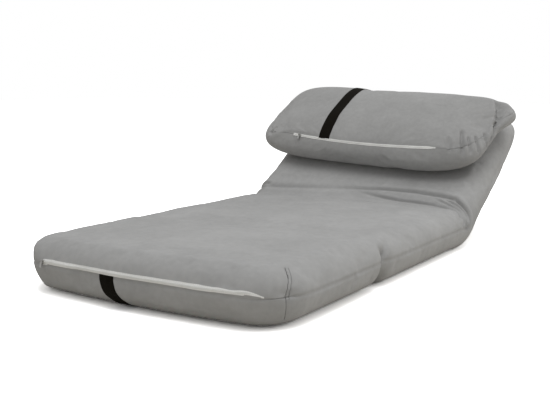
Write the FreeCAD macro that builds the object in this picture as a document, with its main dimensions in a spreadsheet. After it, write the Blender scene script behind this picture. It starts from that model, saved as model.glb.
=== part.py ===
import FreeCAD, Part
import math
import os
import Sketcher

# Convertible chair bed, three upholstered sections and a loose pillow.
# Frame: +X to the sitter's left-hand side in the view, +Y toward the head end, +Z up,
# millimetres, origin on the floor under the middle of the seat section.

doc = FreeCAD.newDocument("ChairBed")
sheet = doc.addObject("Spreadsheet::Sheet", "Sizes")
V = FreeCAD.Vector
row_count = [0]
made = {}


class Dim:
    """A driving dimension: its expression text and its present value."""

    def __init__(self, text, value):
        self.text = text
        self.value = value

    def __add__(self, other):
        other = dim(other)
        return Dim("(%s + %s)" % (self.text, other.text), self.value + other.value)

    def __sub__(self, other):
        other = dim(other)
        return Dim("(%s - %s)" % (self.text, other.text), self.value - other.value)

    def __mul__(self, other):
        other = dim(other)
        return Dim("(%s * %s)" % (self.text, other.text), self.value * other.value)

    def __truediv__(self, other):
        other = dim(other)
        return Dim("(%s / %s)" % (self.text, other.text), self.value / other.value)

    def __radd__(self, other):
        return dim(other) + self

    def __rsub__(self, other):
        return dim(other) - self

    def __rmul__(self, other):
        return dim(other) * self

    def __neg__(self):
        return Dim("(0 - %s)" % self.text, -self.value)


def dim(number):
    if isinstance(number, Dim):
        return number
    return Dim("(%s)" % repr(float(number)), float(number))


def size(alias, number, note):
    row_count[0] += 1
    row = row_count[0]
    sheet.set("A%d" % row, note)
    sheet.set("B%d" % row, repr(float(number)))
    sheet.setAlias("B%d" % row, alias)
    return Dim("Sizes.%s" % alias, float(number))


def d_sin(angle):
    return Dim("sin(%s * 1deg)" % angle.text, math.sin(math.radians(angle.value)))


def d_cos(angle):
    return Dim("cos(%s * 1deg)" % angle.text, math.cos(math.radians(angle.value)))


def d_tan(angle):
    return Dim("tan(%s * 1deg)" % angle.text, math.tan(math.radians(angle.value)))


def d_sqrt(value):
    return Dim("sqrt(%s)" % value.text, math.sqrt(value.value))


# Overall sizes of the three sections
width = size("width", 690, "overall width of every section")
side_height = size("side_height", 106, "height of a section at its sides")
crown = size("crown", 4, "rise of the top surface in the middle of the width")
seat_length = size("seat_length", 532, "seat from the fold line to the back joint")
foot_length = size("foot_length", 404, "foot section along its sides")
foot_bow = size("foot_bow", 26, "bow of the front edge beyond the sides")
foot_lift = size("foot_lift", 2.4, "underside of the foot section above the floor")
back_length = size("back_length", 465, "back section from the joint axis to its head end")
plan_corner = size("plan_corner", 92, "front corner radius seen from above")
back_corner = size("back_corner", 58, "head end corner radius of the back")
top_round = size("top_round", 52, "rounding of the upper edges")
base_round = size("base_round", 48, "rounding of the lower edges")
cloth = size("cloth", 2, "thickness of the cover cloth with its padding layer")
lining_gap = size("lining_gap", 0.3, "space between cover and foam")
fold_gap = size("fold_gap", 1.2, "half of the gap at the fold line")
hinge_gap = size("hinge_gap", 1.5, "half of the gap at the back joint")
fold_rise = size("fold_rise", 1.5, "fold axis above the crown")

# Back joint
rest_angle = size("rest_angle", 33, "back above the flat position as shown")
click_angle = size("click_angle", 16.5, "one step of the ratchet in degrees")
top_angle = size("top_angle", 66, "back above the flat position at its steepest")
hinge_height = size("hinge_height", 55, "joint axis above the floor")
rail_inset = size("rail_inset", 60, "frame rails inside the side faces")
pocket_radius_seat = size("pocket_radius_seat", 46, "hinge pocket radius in the seat")
pocket_radius_back = size("pocket_radius_back", 34, "hinge pocket radius in the back")
pocket_width = size("pocket_width", 20, "hinge pocket width")
tube_diameter = size("tube_diameter", 19, "frame tube outer diameter")
tube_wall = size("tube_wall", 1.2, "frame tube wall")
tube_bend = size("tube_bend", 60, "frame tube bend radius")
tube_set_back = size("tube_set_back", 40, "tube end from the joint axis")
seat_rail_length = size("seat_rail_length", 420, "reach of the seat frame from the joint axis")
back_rail_length = size("back_rail_length", 380, "reach of the back frame from the joint axis")
strap_width = size("strap_width", 50, "webbing strap width")
strap_thick = size("strap_thick", 1.5, "webbing strap thickness")
disc_radius = size("disc_radius", 22, "toothed disc radius")
cheek_radius = size("cheek_radius", 28, "cheek plate radius")
plate_thick = size("plate_thick", 5, "toothed plate thickness")
cheek_thick = size("cheek_thick", 2.5, "cheek plate thickness")
plate_gap = size("plate_gap", 0.3, "gap between plate and cheek")
pivot_diameter = size("pivot_diameter", 10, "main rivet shank diameter")
bore_clearance = size("bore_clearance", 0.05, "radial clearance of the running fits")
tang_height = size("tang_height", 12, "height of the tangs inside the tubes")
arm_height = size("arm_height", 13, "height of the plate arm inside the tube")
tooth_angle = size("tooth_angle", 205, "direction of the tooth contact from the axis")
contact_radius = size("contact_radius", 20, "radius of the tooth contact")
pawl_length = size("pawl_length", 26, "pawl pivot to tooth contact")
pawl_lift = size("pawl_lift", 12, "angle by which the pawl stands out of the teeth")
pawl_pin = size("pawl_pin", 6, "pawl pin diameter")
rivet_diameter = size("rivet_diameter", 5, "tube rivet diameter")

# Zips and bands
tape_thick = size("tape_thick", 1.2, "zip tape with its teeth")
band_thick = size("band_thick", 1.6, "carrying band thickness")
band_width = size("band_width", 37, "carrying band width")
foot_zip_level = size("foot_zip_level", 70, "zip line above the floor")
foot_zip_height = size("foot_zip_height", 14, "zip tape height on the front")
foot_zip_left = size("foot_zip_left", -238, "left end of the front zip")
foot_zip_right = size("foot_zip_right", 292, "right end of the front zip")
foot_band_place = size("foot_band_place", -47.5, "middle of the front band across the width")
foot_band_reach = size("foot_band_reach", 250, "band under the foot from the front")

# Pillow
pillow_half_length = size("pillow_half_length", 352, "half length of the pillow")
pillow_half_depth = size("pillow_half_depth", 156, "half depth of the pillow")
pillow_rise = size("pillow_rise", 70, "pillow above its middle plane")
pillow_drop = size("pillow_drop", 48, "pillow below its middle plane")
pillow_along = size("pillow_along", 287, "pillow middle from the joint axis along the back")
pillow_across = size("pillow_across", -17, "pillow middle across the width")
pillow_turn = size("pillow_turn", -4.8, "pillow turned on the back in degrees")
pillow_gap = size("pillow_gap", 0.3, "pillow above the back surface")
pillow_zip_left = size("pillow_zip_left", -205, "left end of the pillow zip")
pillow_zip_right = size("pillow_zip_right", 260, "right end of the pillow zip")
pillow_zip_level = size("pillow_zip_level", 40, "zip above the pillow middle plane")
pillow_zip_height = size("pillow_zip_height", 9, "zip tape height on the pillow")
pillow_band_place = size("pillow_band_place", -108, "middle of the pillow band")
doc.recompute()

half = width / 2
seat_half = seat_length / 2
fold_height = side_height + crown + fold_rise
lean = top_angle / 2
rail_place = half - rail_inset
nil = dim(0)


# Sketch helpers
def plane_of(body, role):
    for item in body.Origin.OriginFeatures:
        if item.Role == role:
            return item
    return None


def sketch_on(body, name, role, offset=None):
    sk = body.newObject("Sketcher::SketchObject", name)
    sk.AttachmentSupport = [(plane_of(body, role), "")]
    sk.MapMode = "FlatFace"
    if offset is not None:
        sk.setExpression("AttachmentOffset.Base.z", offset.text)
    return sk


def fix_point(sk, geo, end, px, py):
    num = sk.addConstraint(Sketcher.Constraint("DistanceX", -1, 1, geo, end, px.value))
    sk.setExpression("Constraints[%d]" % num, px.text)
    num = sk.addConstraint(Sketcher.Constraint("DistanceY", -1, 1, geo, end, py.value))
    sk.setExpression("Constraints[%d]" % num, py.text)


def draw_path(sk, points, bulges, closed):
    """Lines and arcs through fixed points; a positive bulge lies on the right of travel."""
    count = len(points) if closed else len(points) - 1
    ends = []
    base = sk.GeometryCount
    for i in range(count):
        a = points[i]
        b = points[(i + 1) % len(points)]
        pa = V(a[0].value, a[1].value, 0)
        pb = V(b[0].value, b[1].value, 0)
        if i in bulges:
            sag = bulges[i]
            mid = (pa + pb) * 0.5
            run = pb - pa
            side = V(run.y, -run.x, 0)
            side.normalize()
            sk.addGeometry(Part.Arc(pa, mid + side * sag.value, pb), False)
        else:
            sk.addGeometry(Part.LineSegment(pa, pb), False)
        geo = base + i
        first = 1
        last = 2
        if (sk.getPoint(geo, 1) - pa).Length > 1e-6:
            first = 2
            last = 1
        ends.append((geo, first, last))
    for i in range(count - 1 if not closed else count):
        nxt = ends[(i + 1) % count]
        sk.addConstraint(Sketcher.Constraint("Coincident", ends[i][0], ends[i][2], nxt[0], nxt[1]))
    for i in range(count):
        fix_point(sk, ends[i][0], ends[i][1], points[i][0], points[i][1])
        if i in bulges:
            a = points[i]
            b = points[(i + 1) % len(points)]
            sag = bulges[i]
            dx = b[0] - a[0]
            dy = b[1] - a[1]
            size_of = sag
            if sag.value < 0:
                size_of = -sag
            radius = ((dx * dx + dy * dy) / 4 + size_of * size_of) / (size_of * 2)
            num = sk.addConstraint(Sketcher.Constraint("Radius", ends[i][0], radius.value))
            sk.setExpression("Constraints[%d]" % num, radius.text)
    if not closed:
        fix_point(sk, ends[-1][0], ends[-1][2], points[-1][0], points[-1][1])


def draw_circle(sk, cx, cy, radius):
    geo = sk.addGeometry(Part.Circle(V(cx.value, cy.value, 0), V(0, 0, 1), radius.value), False)
    fix_point(sk, geo, 3, cx, cy)
    num = sk.addConstraint(Sketcher.Constraint("Radius", geo, radius.value))
    sk.setExpression("Constraints[%d]" % num, radius.text)


def pad(body, name, sk, length, middle=False):
    feat = body.newObject("PartDesign::Pad", name)
    feat.Profile = sk
    feat.setExpression("Length", length.text)
    feat.Midplane = middle
    doc.recompute()
    return feat


def pocket(body, name, sk, length, middle=True, flip=False):
    before = body.Tip.Shape.Volume
    feat = body.newObject("PartDesign::Pocket", name)
    feat.Profile = sk
    feat.setExpression("Length", length.text)
    feat.Midplane = middle
    feat.Reversed = flip
    doc.recompute()
    if not feat.Shape.Volume < before - 1e-3:
        raise ValueError("pocket %s of %s removed nothing" % (name, body.Label))
    return feat


def fillet(body, name, edges, radius):
    feat = body.newObject("PartDesign::Fillet", name)
    feat.Base = (body.Tip if body.Tip is not feat else None, edges)
    feat.setExpression("Radius", radius.text)
    doc.recompute()
    return feat


def new_body(label):
    body = doc.addObject("PartDesign::Body", label)
    body.Label = label
    return body


def edge_names(shape, test):
    found = []
    for i, edge in enumerate(shape.Edges):
        if test(edge):
            found.append("Edge%d" % (i + 1))
    return found


def round_edges(body, name, test, radius):
    base = body.Tip
    names = edge_names(base.Shape, test)
    if not names:
        raise ValueError("no edges for %s of %s" % (name, body.Label))
    feat = body.newObject("PartDesign::Fillet", name)
    feat.Base = (base, names)
    feat.setExpression("Radius", radius.text)
    doc.recompute()
    return feat


def mid_of(edge):
    return edge.valueAt((edge.FirstParameter + edge.LastParameter) / 2)


# Section block: a padded slab with crown, drawn-in sides and rounded far end
def slab(label, open_y, closed_y, z_low, bow, corner, inset, inset_low, joint, drop):
    body = new_body(label)
    w = half - inset
    z_base = z_low + inset_low - drop
    z_top = side_height + crown - inset - drop
    sign = 1.0
    if closed_y is not None and closed_y.value < open_y.value:
        sign = -1.0
    plan = sketch_on(body, label + "_plan", "XY_Plane", z_base)
    bulges = {}
    if joint == "both":
        far = closed_y
        near = open_y
        points = [(-w, near), (w, near), (w, far), (-w, far)]
    elif sign < 0:
        far = closed_y + inset
        near = open_y - inset
        points = [(-w, far), (w, far), (w, near), (-w, near)]
        if bow is not None:
            bulges[0] = bow
    else:
        far = closed_y - inset
        near = open_y
        points = [(-w, near), (w, near), (w, far), (-w, far)]
    draw_path(plan, points, bulges, True)
    pad(body, label + "_block", plan, z_top - z_base)
    if corner is not None:
        fy = far.value

        def upright(edge):
            a = edge.Vertexes[0].Point
            b = edge.Vertexes[-1].Point
            return abs(a.z - b.z) > 20 and abs(a.y - fy) < 2 and abs(b.y - fy) < 2

        round_edges(body, label + "_corners", upright, corner - inset)
    arch = sketch_on(body, label + "_arch", "XZ_Plane")
    z_side = side_height - inset - drop
    z_over = side_height + crown + 40
    out = half + 40
    sag = crown * out * out / (half * half)
    draw_path(arch, [(out, z_side + crown - sag), (-out, z_side + crown - sag), (-out, z_over),
                     (out, z_over)], {0: sag}, True)
    pocket(body, label + "_crown", arch, seat_length * 4)
    if joint in ("seat", "both"):
        cut = sketch_on(body, label + "_joint", "YZ_Plane")
        rise = z_over - (hinge_height - drop)
        y_face = seat_half - hinge_gap - inset
        y_top = seat_half - hinge_gap - inset / d_cos(lean) - rise * d_tan(lean)
        z_turn = hinge_height - drop - inset * d_tan(lean / 2)
        draw_path(cut, [(y_face, -dim(60)), (seat_half + 90, -dim(60)), (seat_half + 90, z_over),
                        (y_top, z_over), (y_face, z_turn)], {}, True)
        pocket(body, label + "_rear_face", cut, width * 2)
    if joint == "back":
        cut = sketch_on(body, label + "_joint", "YZ_Plane")
        y_face = hinge_gap + inset
        y_top = hinge_gap + inset / d_cos(lean) + z_over * d_tan(lean)
        z_turn = -(inset * d_tan(lean / 2))
        draw_path(cut, [(y_face, -dim(90)), (y_face, z_turn), (y_top, z_over),
                        (-dim(90), z_over), (-dim(90), -dim(90))], {}, True)
        pocket(body, label + "_near_face", cut, width * 2)
    zt = z_side.value - 0.5
    zb = z_base.value + 0.5
    fy = far.value

    def at_end(edge):
        m = mid_of(edge)
        ys = [p.Point.y for p in edge.Vertexes] + [m.y]
        xs = [p.Point.x for p in edge.Vertexes] + [m.x]
        across = max(xs) - min(xs) > 100 and max(ys) - min(ys) < 4
        return across and (corner is None or abs(m.y - fy) > 60)

    def upper(edge):
        ends = [p.Point.z for p in edge.Vertexes]
        return min(ends) > zt and not at_end(edge)

    def lower(edge):
        ends = [p.Point.z for p in edge.Vertexes]
        return max(ends) < zb and not at_end(edge)

    round_edges(body, label + "_top_round", upper, top_round - inset)
    round_edges(body, label + "_base_round", lower, base_round - inset_low)
    return body


def level_cut(body, name, z_from, z_to):
    sk = sketch_on(body, name, "XZ_Plane")
    out = half + 60
    draw_path(sk, [(-out, z_from), (out, z_from), (out, z_to), (-out, z_to)], {}, True)
    pocket(body, name + "_cut", sk, seat_length * 4)


def joint_pockets(body, name, cy, cz, radius):
    for tag, place in (("left", -rail_place), ("right", rail_place)):
        sk = sketch_on(body, "%s_%s" % (name, tag), "YZ_Plane", place)
        draw_circle(sk, cy, cz, radius)
        pocket(body, "%s_%s_cut" % (name, tag), sk, pocket_width)


def place_node(obj, label, where, turn=None):
    obj.Label = label
    for axis, value in zip("xyz", where):
        obj.setExpression("Placement.Base.%s" % axis, value.text)
    if turn is not None:
        obj.Placement = FreeCAD.Placement(obj.Placement.Base, FreeCAD.Rotation(V(1, 0, 0), 1))
        obj.setExpression("Placement.Rotation.Axis.x", "1")
        obj.setExpression("Placement.Rotation.Axis.y", "0")
        obj.setExpression("Placement.Rotation.Axis.z", "0")
        obj.setExpression("Placement.Rotation.Angle", "%s * 1deg" % turn.text)
    made[label] = obj
    doc.recompute()
    return obj


def cut_of(label, base, tool):
    obj = doc.addObject("Part::Cut", label)
    obj.Base = base
    obj.Tool = tool
    return obj


def common_of(label, base, tool):
    obj = doc.addObject("Part::Common", label)
    obj.Base = base
    obj.Tool = tool
    return obj


def box_of(label, x0, x1, y0, y1, z0, z1):
    obj = doc.addObject("Part::Box", label)
    obj.setExpression("Length", (x1 - x0).text)
    obj.setExpression("Width", (y1 - y0).text)
    obj.setExpression("Height", (z1 - z0).text)
    obj.setExpression("Placement.Base.x", x0.text)
    obj.setExpression("Placement.Base.y", y0.text)
    obj.setExpression("Placement.Base.z", z0.text)
    return obj


SEAT_AT = (nil, nil, nil)
FOOT_AT = (nil, -seat_half, nil)
JOINT_AT = (nil, seat_half, hinge_height)
well_low = hinge_height - tube_diameter / 2 - strap_thick - 0.5
well_high = hinge_height + tube_diameter / 2 + strap_thick + 0.2
well_half = rail_place + tube_diameter / 2 + 3
foam_in = cloth + lining_gap

# Foot section: cover shell and one foam block
foot_end = -foot_length
foot_outer = slab("foot_outer", -fold_gap, foot_end, foot_lift, foot_bow, plan_corner, nil, nil,
                  None, nil)
foot_inner = slab("foot_inner", -fold_gap, foot_end, foot_lift, foot_bow, plan_corner, cloth, cloth,
                  None, nil)
place_node(cut_of("foot_shell", foot_outer, foot_inner), "foot_cover", FOOT_AT)
foot_foam = slab("foot_block", -fold_gap, foot_end, foot_lift, foot_bow, plan_corner, foam_in, cloth,
                 None, nil)
place_node(foot_foam, "foot_foam", FOOT_AT)

# Front zip tape and carrying band, both following the bowed front
skin = dim(0.05)
front_skin = slab("front_skin", -fold_gap, foot_end, foot_lift, foot_bow, plan_corner, -skin, -skin,
                  None, nil)
front_tape = slab("front_tape", -fold_gap, foot_end, foot_lift, foot_bow, plan_corner,
                  -skin - tape_thick, -skin - tape_thick, None, nil)
front_band = slab("front_band", -fold_gap, foot_end, foot_lift, foot_bow, plan_corner,
                  -skin - band_thick, -skin - band_thick, None, nil)
tape_box = box_of("tape_box", foot_zip_left, foot_zip_right, foot_end - foot_bow - 20, foot_end + 40,
                  foot_zip_level - foot_zip_height / 2, foot_zip_level + foot_zip_height / 2)
front_tape_shell = cut_of("front_tape_shell", front_tape, front_skin)
place_node(common_of("foot_tape", front_tape_shell, tape_box), "foot_zip_tape", FOOT_AT)
band_box = box_of("band_box", foot_band_place - band_width / 2, foot_band_place + band_width / 2,
                  foot_end - foot_bow - 20, foot_end + foot_band_reach, -dim(5),
                  foot_zip_level - foot_zip_height / 2 - 0.2)
front_band_shell = cut_of("front_band_shell", front_band, front_skin)
place_node(common_of("foot_band_strip", front_band_shell, band_box), "foot_band", FOOT_AT)
print("foot done")

# Seat section: cover shell, base foam with the frame well, top foam
seat_outer = slab("seat_outer", -seat_half + fold_gap, seat_half + 20, nil, None, None, nil, nil,
                  "both", nil)
joint_pockets(seat_outer, "seat_outer_pocket", seat_half, hinge_height, pocket_radius_seat)
seat_inner = slab("seat_inner", -seat_half + fold_gap + cloth, seat_half + 20, nil, None, None,
                  cloth, cloth, "both", nil)
place_node(cut_of("seat_shell", seat_outer, seat_inner), "seat_cover", SEAT_AT)
seat_front = -seat_half + fold_gap + foam_in
seat_base = slab("seat_base", seat_front, seat_half + 20, nil, None, None, foam_in, cloth,
                 "both", nil)
level_cut(seat_base, "seat_base_level", well_high, side_height + 60)
frame_front = seat_half - seat_rail_length
well = sketch_on(seat_base, "seat_well", "XY_Plane", well_low)
draw_path(well, [(-well_half, frame_front - tube_diameter / 2 - 3),
                 (well_half, frame_front - tube_diameter / 2 - 3),
                 (well_half, seat_half + 30), (-well_half, seat_half + 30)], {}, True)
pocket(seat_base, "seat_well_cut", well, dim(60), False, True)
joint_pockets(seat_base, "seat_base_pocket", seat_half, hinge_height, pocket_radius_seat)
place_node(seat_base, "seat_base_foam", SEAT_AT)
seat_top = slab("seat_top", seat_front, seat_half + 20, nil, None, None, foam_in, cloth, "both", nil)
level_cut(seat_top, "seat_top_level", -dim(60), well_high)
joint_pockets(seat_top, "seat_top_pocket", seat_half, hinge_height, pocket_radius_seat)
place_node(seat_top, "seat_top_foam", SEAT_AT)
print("seat done")

# Back section, drawn lying flat from the joint axis and then raised
back_low = nil
back_outer = slab("back_outer", nil, back_length, back_low, None, back_corner, nil, nil,
                  "back", hinge_height)
joint_pockets(back_outer, "back_outer_pocket", nil, nil, pocket_radius_back)
back_inner = slab("back_inner", nil, back_length, back_low, None, back_corner, cloth, cloth,
                  "back", hinge_height)
place_node(cut_of("back_shell", back_outer, back_inner), "back_cover", JOINT_AT, rest_angle)
back_rear = slab("back_rear", nil, back_length, back_low, None, back_corner, foam_in, cloth,
                 "back", hinge_height)
level_cut(back_rear, "back_rear_level", well_high - hinge_height, side_height + 60)
well = sketch_on(back_rear, "back_well", "XY_Plane", well_low - hinge_height)
draw_path(well, [(-well_half, -dim(30)), (well_half, -dim(30)),
                 (well_half, back_rail_length + tube_diameter / 2 + 3),
                 (-well_half, back_rail_length + tube_diameter / 2 + 3)], {}, True)
pocket(back_rear, "back_well_cut", well, dim(60), False, True)
joint_pockets(back_rear, "back_rear_pocket", nil, nil, pocket_radius_back)
place_node(back_rear, "back_rear_foam", JOINT_AT, rest_angle)
back_front = slab("back_front", nil, back_length, back_low, None, back_corner, foam_in, cloth,
                  "back", hinge_height)
level_cut(back_front, "back_front_level", -dim(90), well_high - hinge_height)
joint_pockets(back_front, "back_front_pocket", nil, nil, pocket_radius_back)
place_node(back_front, "back_front_foam", JOINT_AT, rest_angle)
print("back done")


# Frame tubes: a bent U in each of the seat and the back
def bent_tube(label, start, turn_at, level, drill_at):
    """U tube: rails from start to turn_at joined by a cross run, drilled for its rivets."""
    body = new_body(label)
    way = 1.0 if turn_at.value > start.value else -1.0
    path = sketch_on(body, label + "_path", "XY_Plane", level)
    x_out = rail_place
    x_in = rail_place - tube_bend
    y_turn = turn_at - tube_bend * way
    sag = tube_bend * (1 - math.sqrt(0.5)) * (-way)
    draw_path(path, [(-x_out, start), (-x_out, y_turn), (-x_in, turn_at), (x_in, turn_at),
                     (x_out, y_turn), (x_out, start)], {1: sag, 3: sag}, False)
    ring = sketch_on(body, label + "_ring", "XZ_Plane", -start)
    draw_circle(ring, -x_out, level, tube_diameter / 2)
    tube = body.newObject("PartDesign::AdditivePipe", label + "_sweep")
    tube.Profile = ring
    tube.Spine = (path, [])
    doc.recompute()
    core = sketch_on(body, label + "_core", "XZ_Plane", -start)
    draw_circle(core, -x_out, level, tube_diameter / 2 - tube_wall)
    hollow = body.newObject("PartDesign::SubtractivePipe", label + "_bore")
    hollow.Profile = core
    hollow.Spine = (path, [])
    doc.recompute()
    for i, place in enumerate(drill_at):
        hole = sketch_on(body, "%s_hole_%d" % (label, i + 1), "YZ_Plane")
        draw_circle(hole, place, level, rivet_diameter / 2)
        pocket(body, "%s_drill_%d" % (label, i + 1), hole, width * 2)
    return body


seat_holes = [seat_half - 62, seat_half - 80]
back_holes = [dim(62), dim(80)]
seat_tube = bent_tube("seat_tube", seat_half - tube_set_back, frame_front, hinge_height, seat_holes)
place_node(seat_tube, "seat_frame_tube", SEAT_AT)
back_tube = bent_tube("back_tube", tube_set_back, back_rail_length, nil, back_holes)
place_node(back_tube, "back_frame_tube", JOINT_AT, rest_angle)


# Cross tubes coped onto the rails, one shared node per frame
def cross_tube(label, place, level):
    body = new_body(label)
    sk = sketch_on(body, label + "_ring", "YZ_Plane")
    draw_circle(sk, place, level, tube_diameter / 2 - 1)
    draw_circle(sk, place, level, tube_diameter / 2 - 1 - tube_wall)
    pad(body, label + "_run", sk, rail_place * 2, True)
    rail = sketch_on(body, label + "_rails", "XZ_Plane")
    draw_circle(rail, -rail_place, level, tube_diameter / 2)
    draw_circle(rail, rail_place, level, tube_diameter / 2)
    pocket(body, label + "_cope", rail, seat_length * 3)
    return body


def compound_of(label, members):
    obj = doc.addObject("Part::Compound", label)
    obj.Links = members
    return obj


seat_cross = [cross_tube("seat_cross_a", seat_half - 135, hinge_height)]
place_node(seat_cross[0], "seat_cross_tube", SEAT_AT)
back_cross = [cross_tube("back_cross_a", dim(120), nil)]
place_node(back_cross[0], "back_cross_tube", JOINT_AT, rest_angle)


# Webbing straps looped round the rails
def strap(label, place, level):
    body = new_body(label)
    r_in = tube_diameter / 2
    flat = sketch_on(body, label + "_flat", "XZ_Plane", -(place - strap_width / 2))
    draw_path(flat, [(-rail_place, level + r_in), (rail_place, level + r_in),
                     (rail_place, level + r_in + strap_thick),
                     (-rail_place, level + r_in + strap_thick)], {}, True)
    run = pad(body, label + "_run", flat, strap_width)
    run.Reversed = True
    doc.recompute()
    for tag, x in (("left", -rail_place), ("right", rail_place)):
        loop = sketch_on(body, "%s_loop_%s" % (label, tag), "XZ_Plane", -(place - strap_width / 2))
        draw_circle(loop, x, level, r_in + strap_thick)
        draw_circle(loop, x, level, r_in)
        turn = pad(body, "%s_turn_%s" % (label, tag), loop, strap_width)
        turn.Reversed = True
        doc.recompute()
    return body


seat_strap_list = []
for i, place in enumerate([seat_half - 330, seat_half - 265, seat_half - 200]):
    seat_strap_list.append(strap("seat_strap_%d" % (i + 1), place, hinge_height))
place_node(compound_of("seat_strap_set", seat_strap_list), "seat_straps", SEAT_AT)
back_strap_list = []
for i, place in enumerate([dim(175), dim(235), dim(295)]):
    back_strap_list.append(strap("back_strap_%d" % (i + 1), place, nil))
place_node(compound_of("back_strap_set", back_strap_list), "back_straps", JOINT_AT, rest_angle)
print("frames done")


# Ratchet hinge parts, drawn about the joint axis
phi = tooth_angle
rx = d_cos(phi)
rz = d_sin(phi)
tx = d_sin(phi)
tz = -d_cos(phi)


def hook(s, n):
    """Point on the tooth side: s toward the pawl pivot, n outward from the contact."""
    return ((contact_radius + n) * rx + s * tx, (contact_radius + n) * rz + s * tz)


pin_y, pin_z = hook(pawl_length, nil)


def yz_pad(body, name, points, bulges, x_from, thick):
    sk = sketch_on(body, name, "YZ_Plane", x_from)
    draw_path(sk, points, bulges, True)
    return pad(body, name + "_pad", sk, thick)


def yz_disc(body, name, cy, cz, radius, x_from, thick, bore=None):
    sk = sketch_on(body, name, "YZ_Plane", x_from)
    draw_circle(sk, cy, cz, radius)
    if bore is not None:
        draw_circle(sk, cy, cz, bore)
    return pad(body, name + "_pad", sk, thick)


def yz_hole(body, name, cy, cz, radius):
    sk = sketch_on(body, name, "YZ_Plane")
    draw_circle(sk, cy, cz, radius)
    return pocket(body, name + "_cut", sk, width * 2)


tang_reach = dim(92)
pivot_radius = pivot_diameter / 2


def cheek(label, x_from):
    body = new_body(label)
    yz_disc(body, label + "_disc", nil, nil, cheek_radius, x_from, cheek_thick)
    yz_disc(body, label + "_boss", pin_y, pin_z, dim(7), x_from, cheek_thick)
    yz_pad(body, label + "_web", [(pin_y - 6, pin_z - 3), (-dim(6), -dim(4)), (-dim(4), dim(26)),
                                  (pin_y + 2, pin_z + 6.5)], {}, x_from, cheek_thick)
    yz_pad(body, label + "_tang", [(-tang_reach, -tang_height / 2), (-dim(10), -tang_height / 2),
                                   (-dim(10), tang_height / 2), (-tang_reach, tang_height / 2)],
           {}, x_from, cheek_thick)
    yz_hole(body, label + "_bore", nil, nil, pivot_radius)
    yz_hole(body, label + "_pin_hole", pin_y, pin_z, pawl_pin / 2)
    for i, place in enumerate(seat_holes):
        yz_hole(body, "%s_rivet_%d" % (label, i + 1), place - seat_half, nil, rivet_diameter / 2)
    return body


def toothed_plate(label):
    body = new_body(label)
    x_from = -plate_thick / 2
    yz_disc(body, label + "_disc", nil, nil, disc_radius, x_from, plate_thick)
    yz_pad(body, label + "_arm", [(dim(6), -arm_height / 2), (tang_reach, -arm_height / 2),
                                  (tang_reach, arm_height / 2), (dim(6), arm_height / 2)],
           {}, x_from, plate_thick)
    yz_hole(body, label + "_bore", nil, nil, pivot_radius + bore_clearance)
    for i, place in enumerate(back_holes):
        yz_hole(body, "%s_rivet_%d" % (label, i + 1), place, nil, rivet_diameter / 2)
    # The gullet of the rest position sits at the contact; it is drawn one full
    # half range back so that the pattern ends symmetrically about the rest position.
    gullet = sketch_on(body, label + "_gullet", "YZ_Plane")
    angle = -lean - rest_angle
    ca = d_cos(angle)
    sa = d_sin(angle)

    def turned(point):
        return (point[0] * ca - point[1] * sa, point[0] * sa + point[1] * ca)

    corners = [hook(-dim(0.2), -dim(3.2)), hook(-dim(0.2), dim(6)), hook(dim(6.6), dim(6)),
               hook(dim(5), dim(2.2)), hook(dim(3.6), -dim(3.2))]
    draw_path(gullet, [turned(p) for p in corners], {}, True)
    first = pocket(body, label + "_tooth_space", gullet, plate_thick * 4)
    fan = body.newObject("PartDesign::PolarPattern", label + "_teeth")
    fan.Originals = [first]
    for item in body.Origin.OriginFeatures:
        if item.Role == "X_Axis":
            fan.Axis = (item, [""])
    fan.setExpression("Angle", "%s" % (top_angle).text)
    fan.Occurrences = 5
    body.Tip = fan
    doc.recompute()
    return body


def pawl(label):
    """Drawn about its own pivot in the engaged position."""
    body = new_body(label)
    x_from = -dim(2.2)
    thick = dim(4.4)

    def own(s, n):
        point = hook(s, n)
        return (point[0] - pin_y, point[1] - pin_z)

    near = own(dim(20), dim(2.6))
    far = own(dim(20), -dim(2.6))
    yz_pad(body, label + "_blade", [own(nil, dim(3)), own(dim(4), dim(7)), own(dim(18), dim(5.5)),
                                    own(pawl_length, dim(4.8)), own(pawl_length, -dim(4.8)),
                                    own(dim(18), dim(0.5)), own(dim(4.5), dim(3.2)),
                                    own(dim(3), -dim(2.7)), own(nil, -dim(2.7))], {}, x_from, thick)
    yz_disc(body, label + "_eye", nil, nil, dim(5), x_from, thick)
    yz_hole(body, label + "_bore", nil, nil, pawl_pin / 2 + bore_clearance)
    return body


def spring_leaf(label):
    body = new_body(label)
    yz_pad(body, label + "_root", [(-dim(47), -dim(5)), (-dim(39), -dim(5)), (-dim(39), dim(3)),
                                   (-dim(47), dim(3))], {}, -plate_thick / 2 - plate_gap,
           plate_thick + plate_gap * 2)
    yz_pad(body, label + "_leaf", [(-dim(41), -dim(5)), (-dim(32.4), -dim(9.4)),
                                   (-dim(31.9), -dim(8.7)), (-dim(39.5), -dim(3))], {},
           -dim(2), dim(4))
    return body


def rivet(label, cy, cz, radius, head, head_thick, reach, x_mid=None):
    """A shank along X with a rounded head on each end."""
    body = new_body(label)
    x_mid = nil if x_mid is None else x_mid
    yz_disc(body, label + "_shank", cy, cz, radius, x_mid - reach, reach * 2)
    yz_disc(body, label + "_head_a", cy, cz, head, x_mid + reach, head_thick)
    yz_disc(body, label + "_head_b", cy, cz, head, x_mid - reach - head_thick, head_thick)
    outer = (x_mid + reach + head_thick).value
    inner = (x_mid - reach - head_thick).value

    def rim(edge):
        m = mid_of(edge)
        return edge.Length > 2 * head.value and (abs(m.x - outer) < 1e-4 or abs(m.x - inner) < 1e-4)

    round_edges(body, label + "_heads", rim, head_thick * 0.6)
    return body


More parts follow.
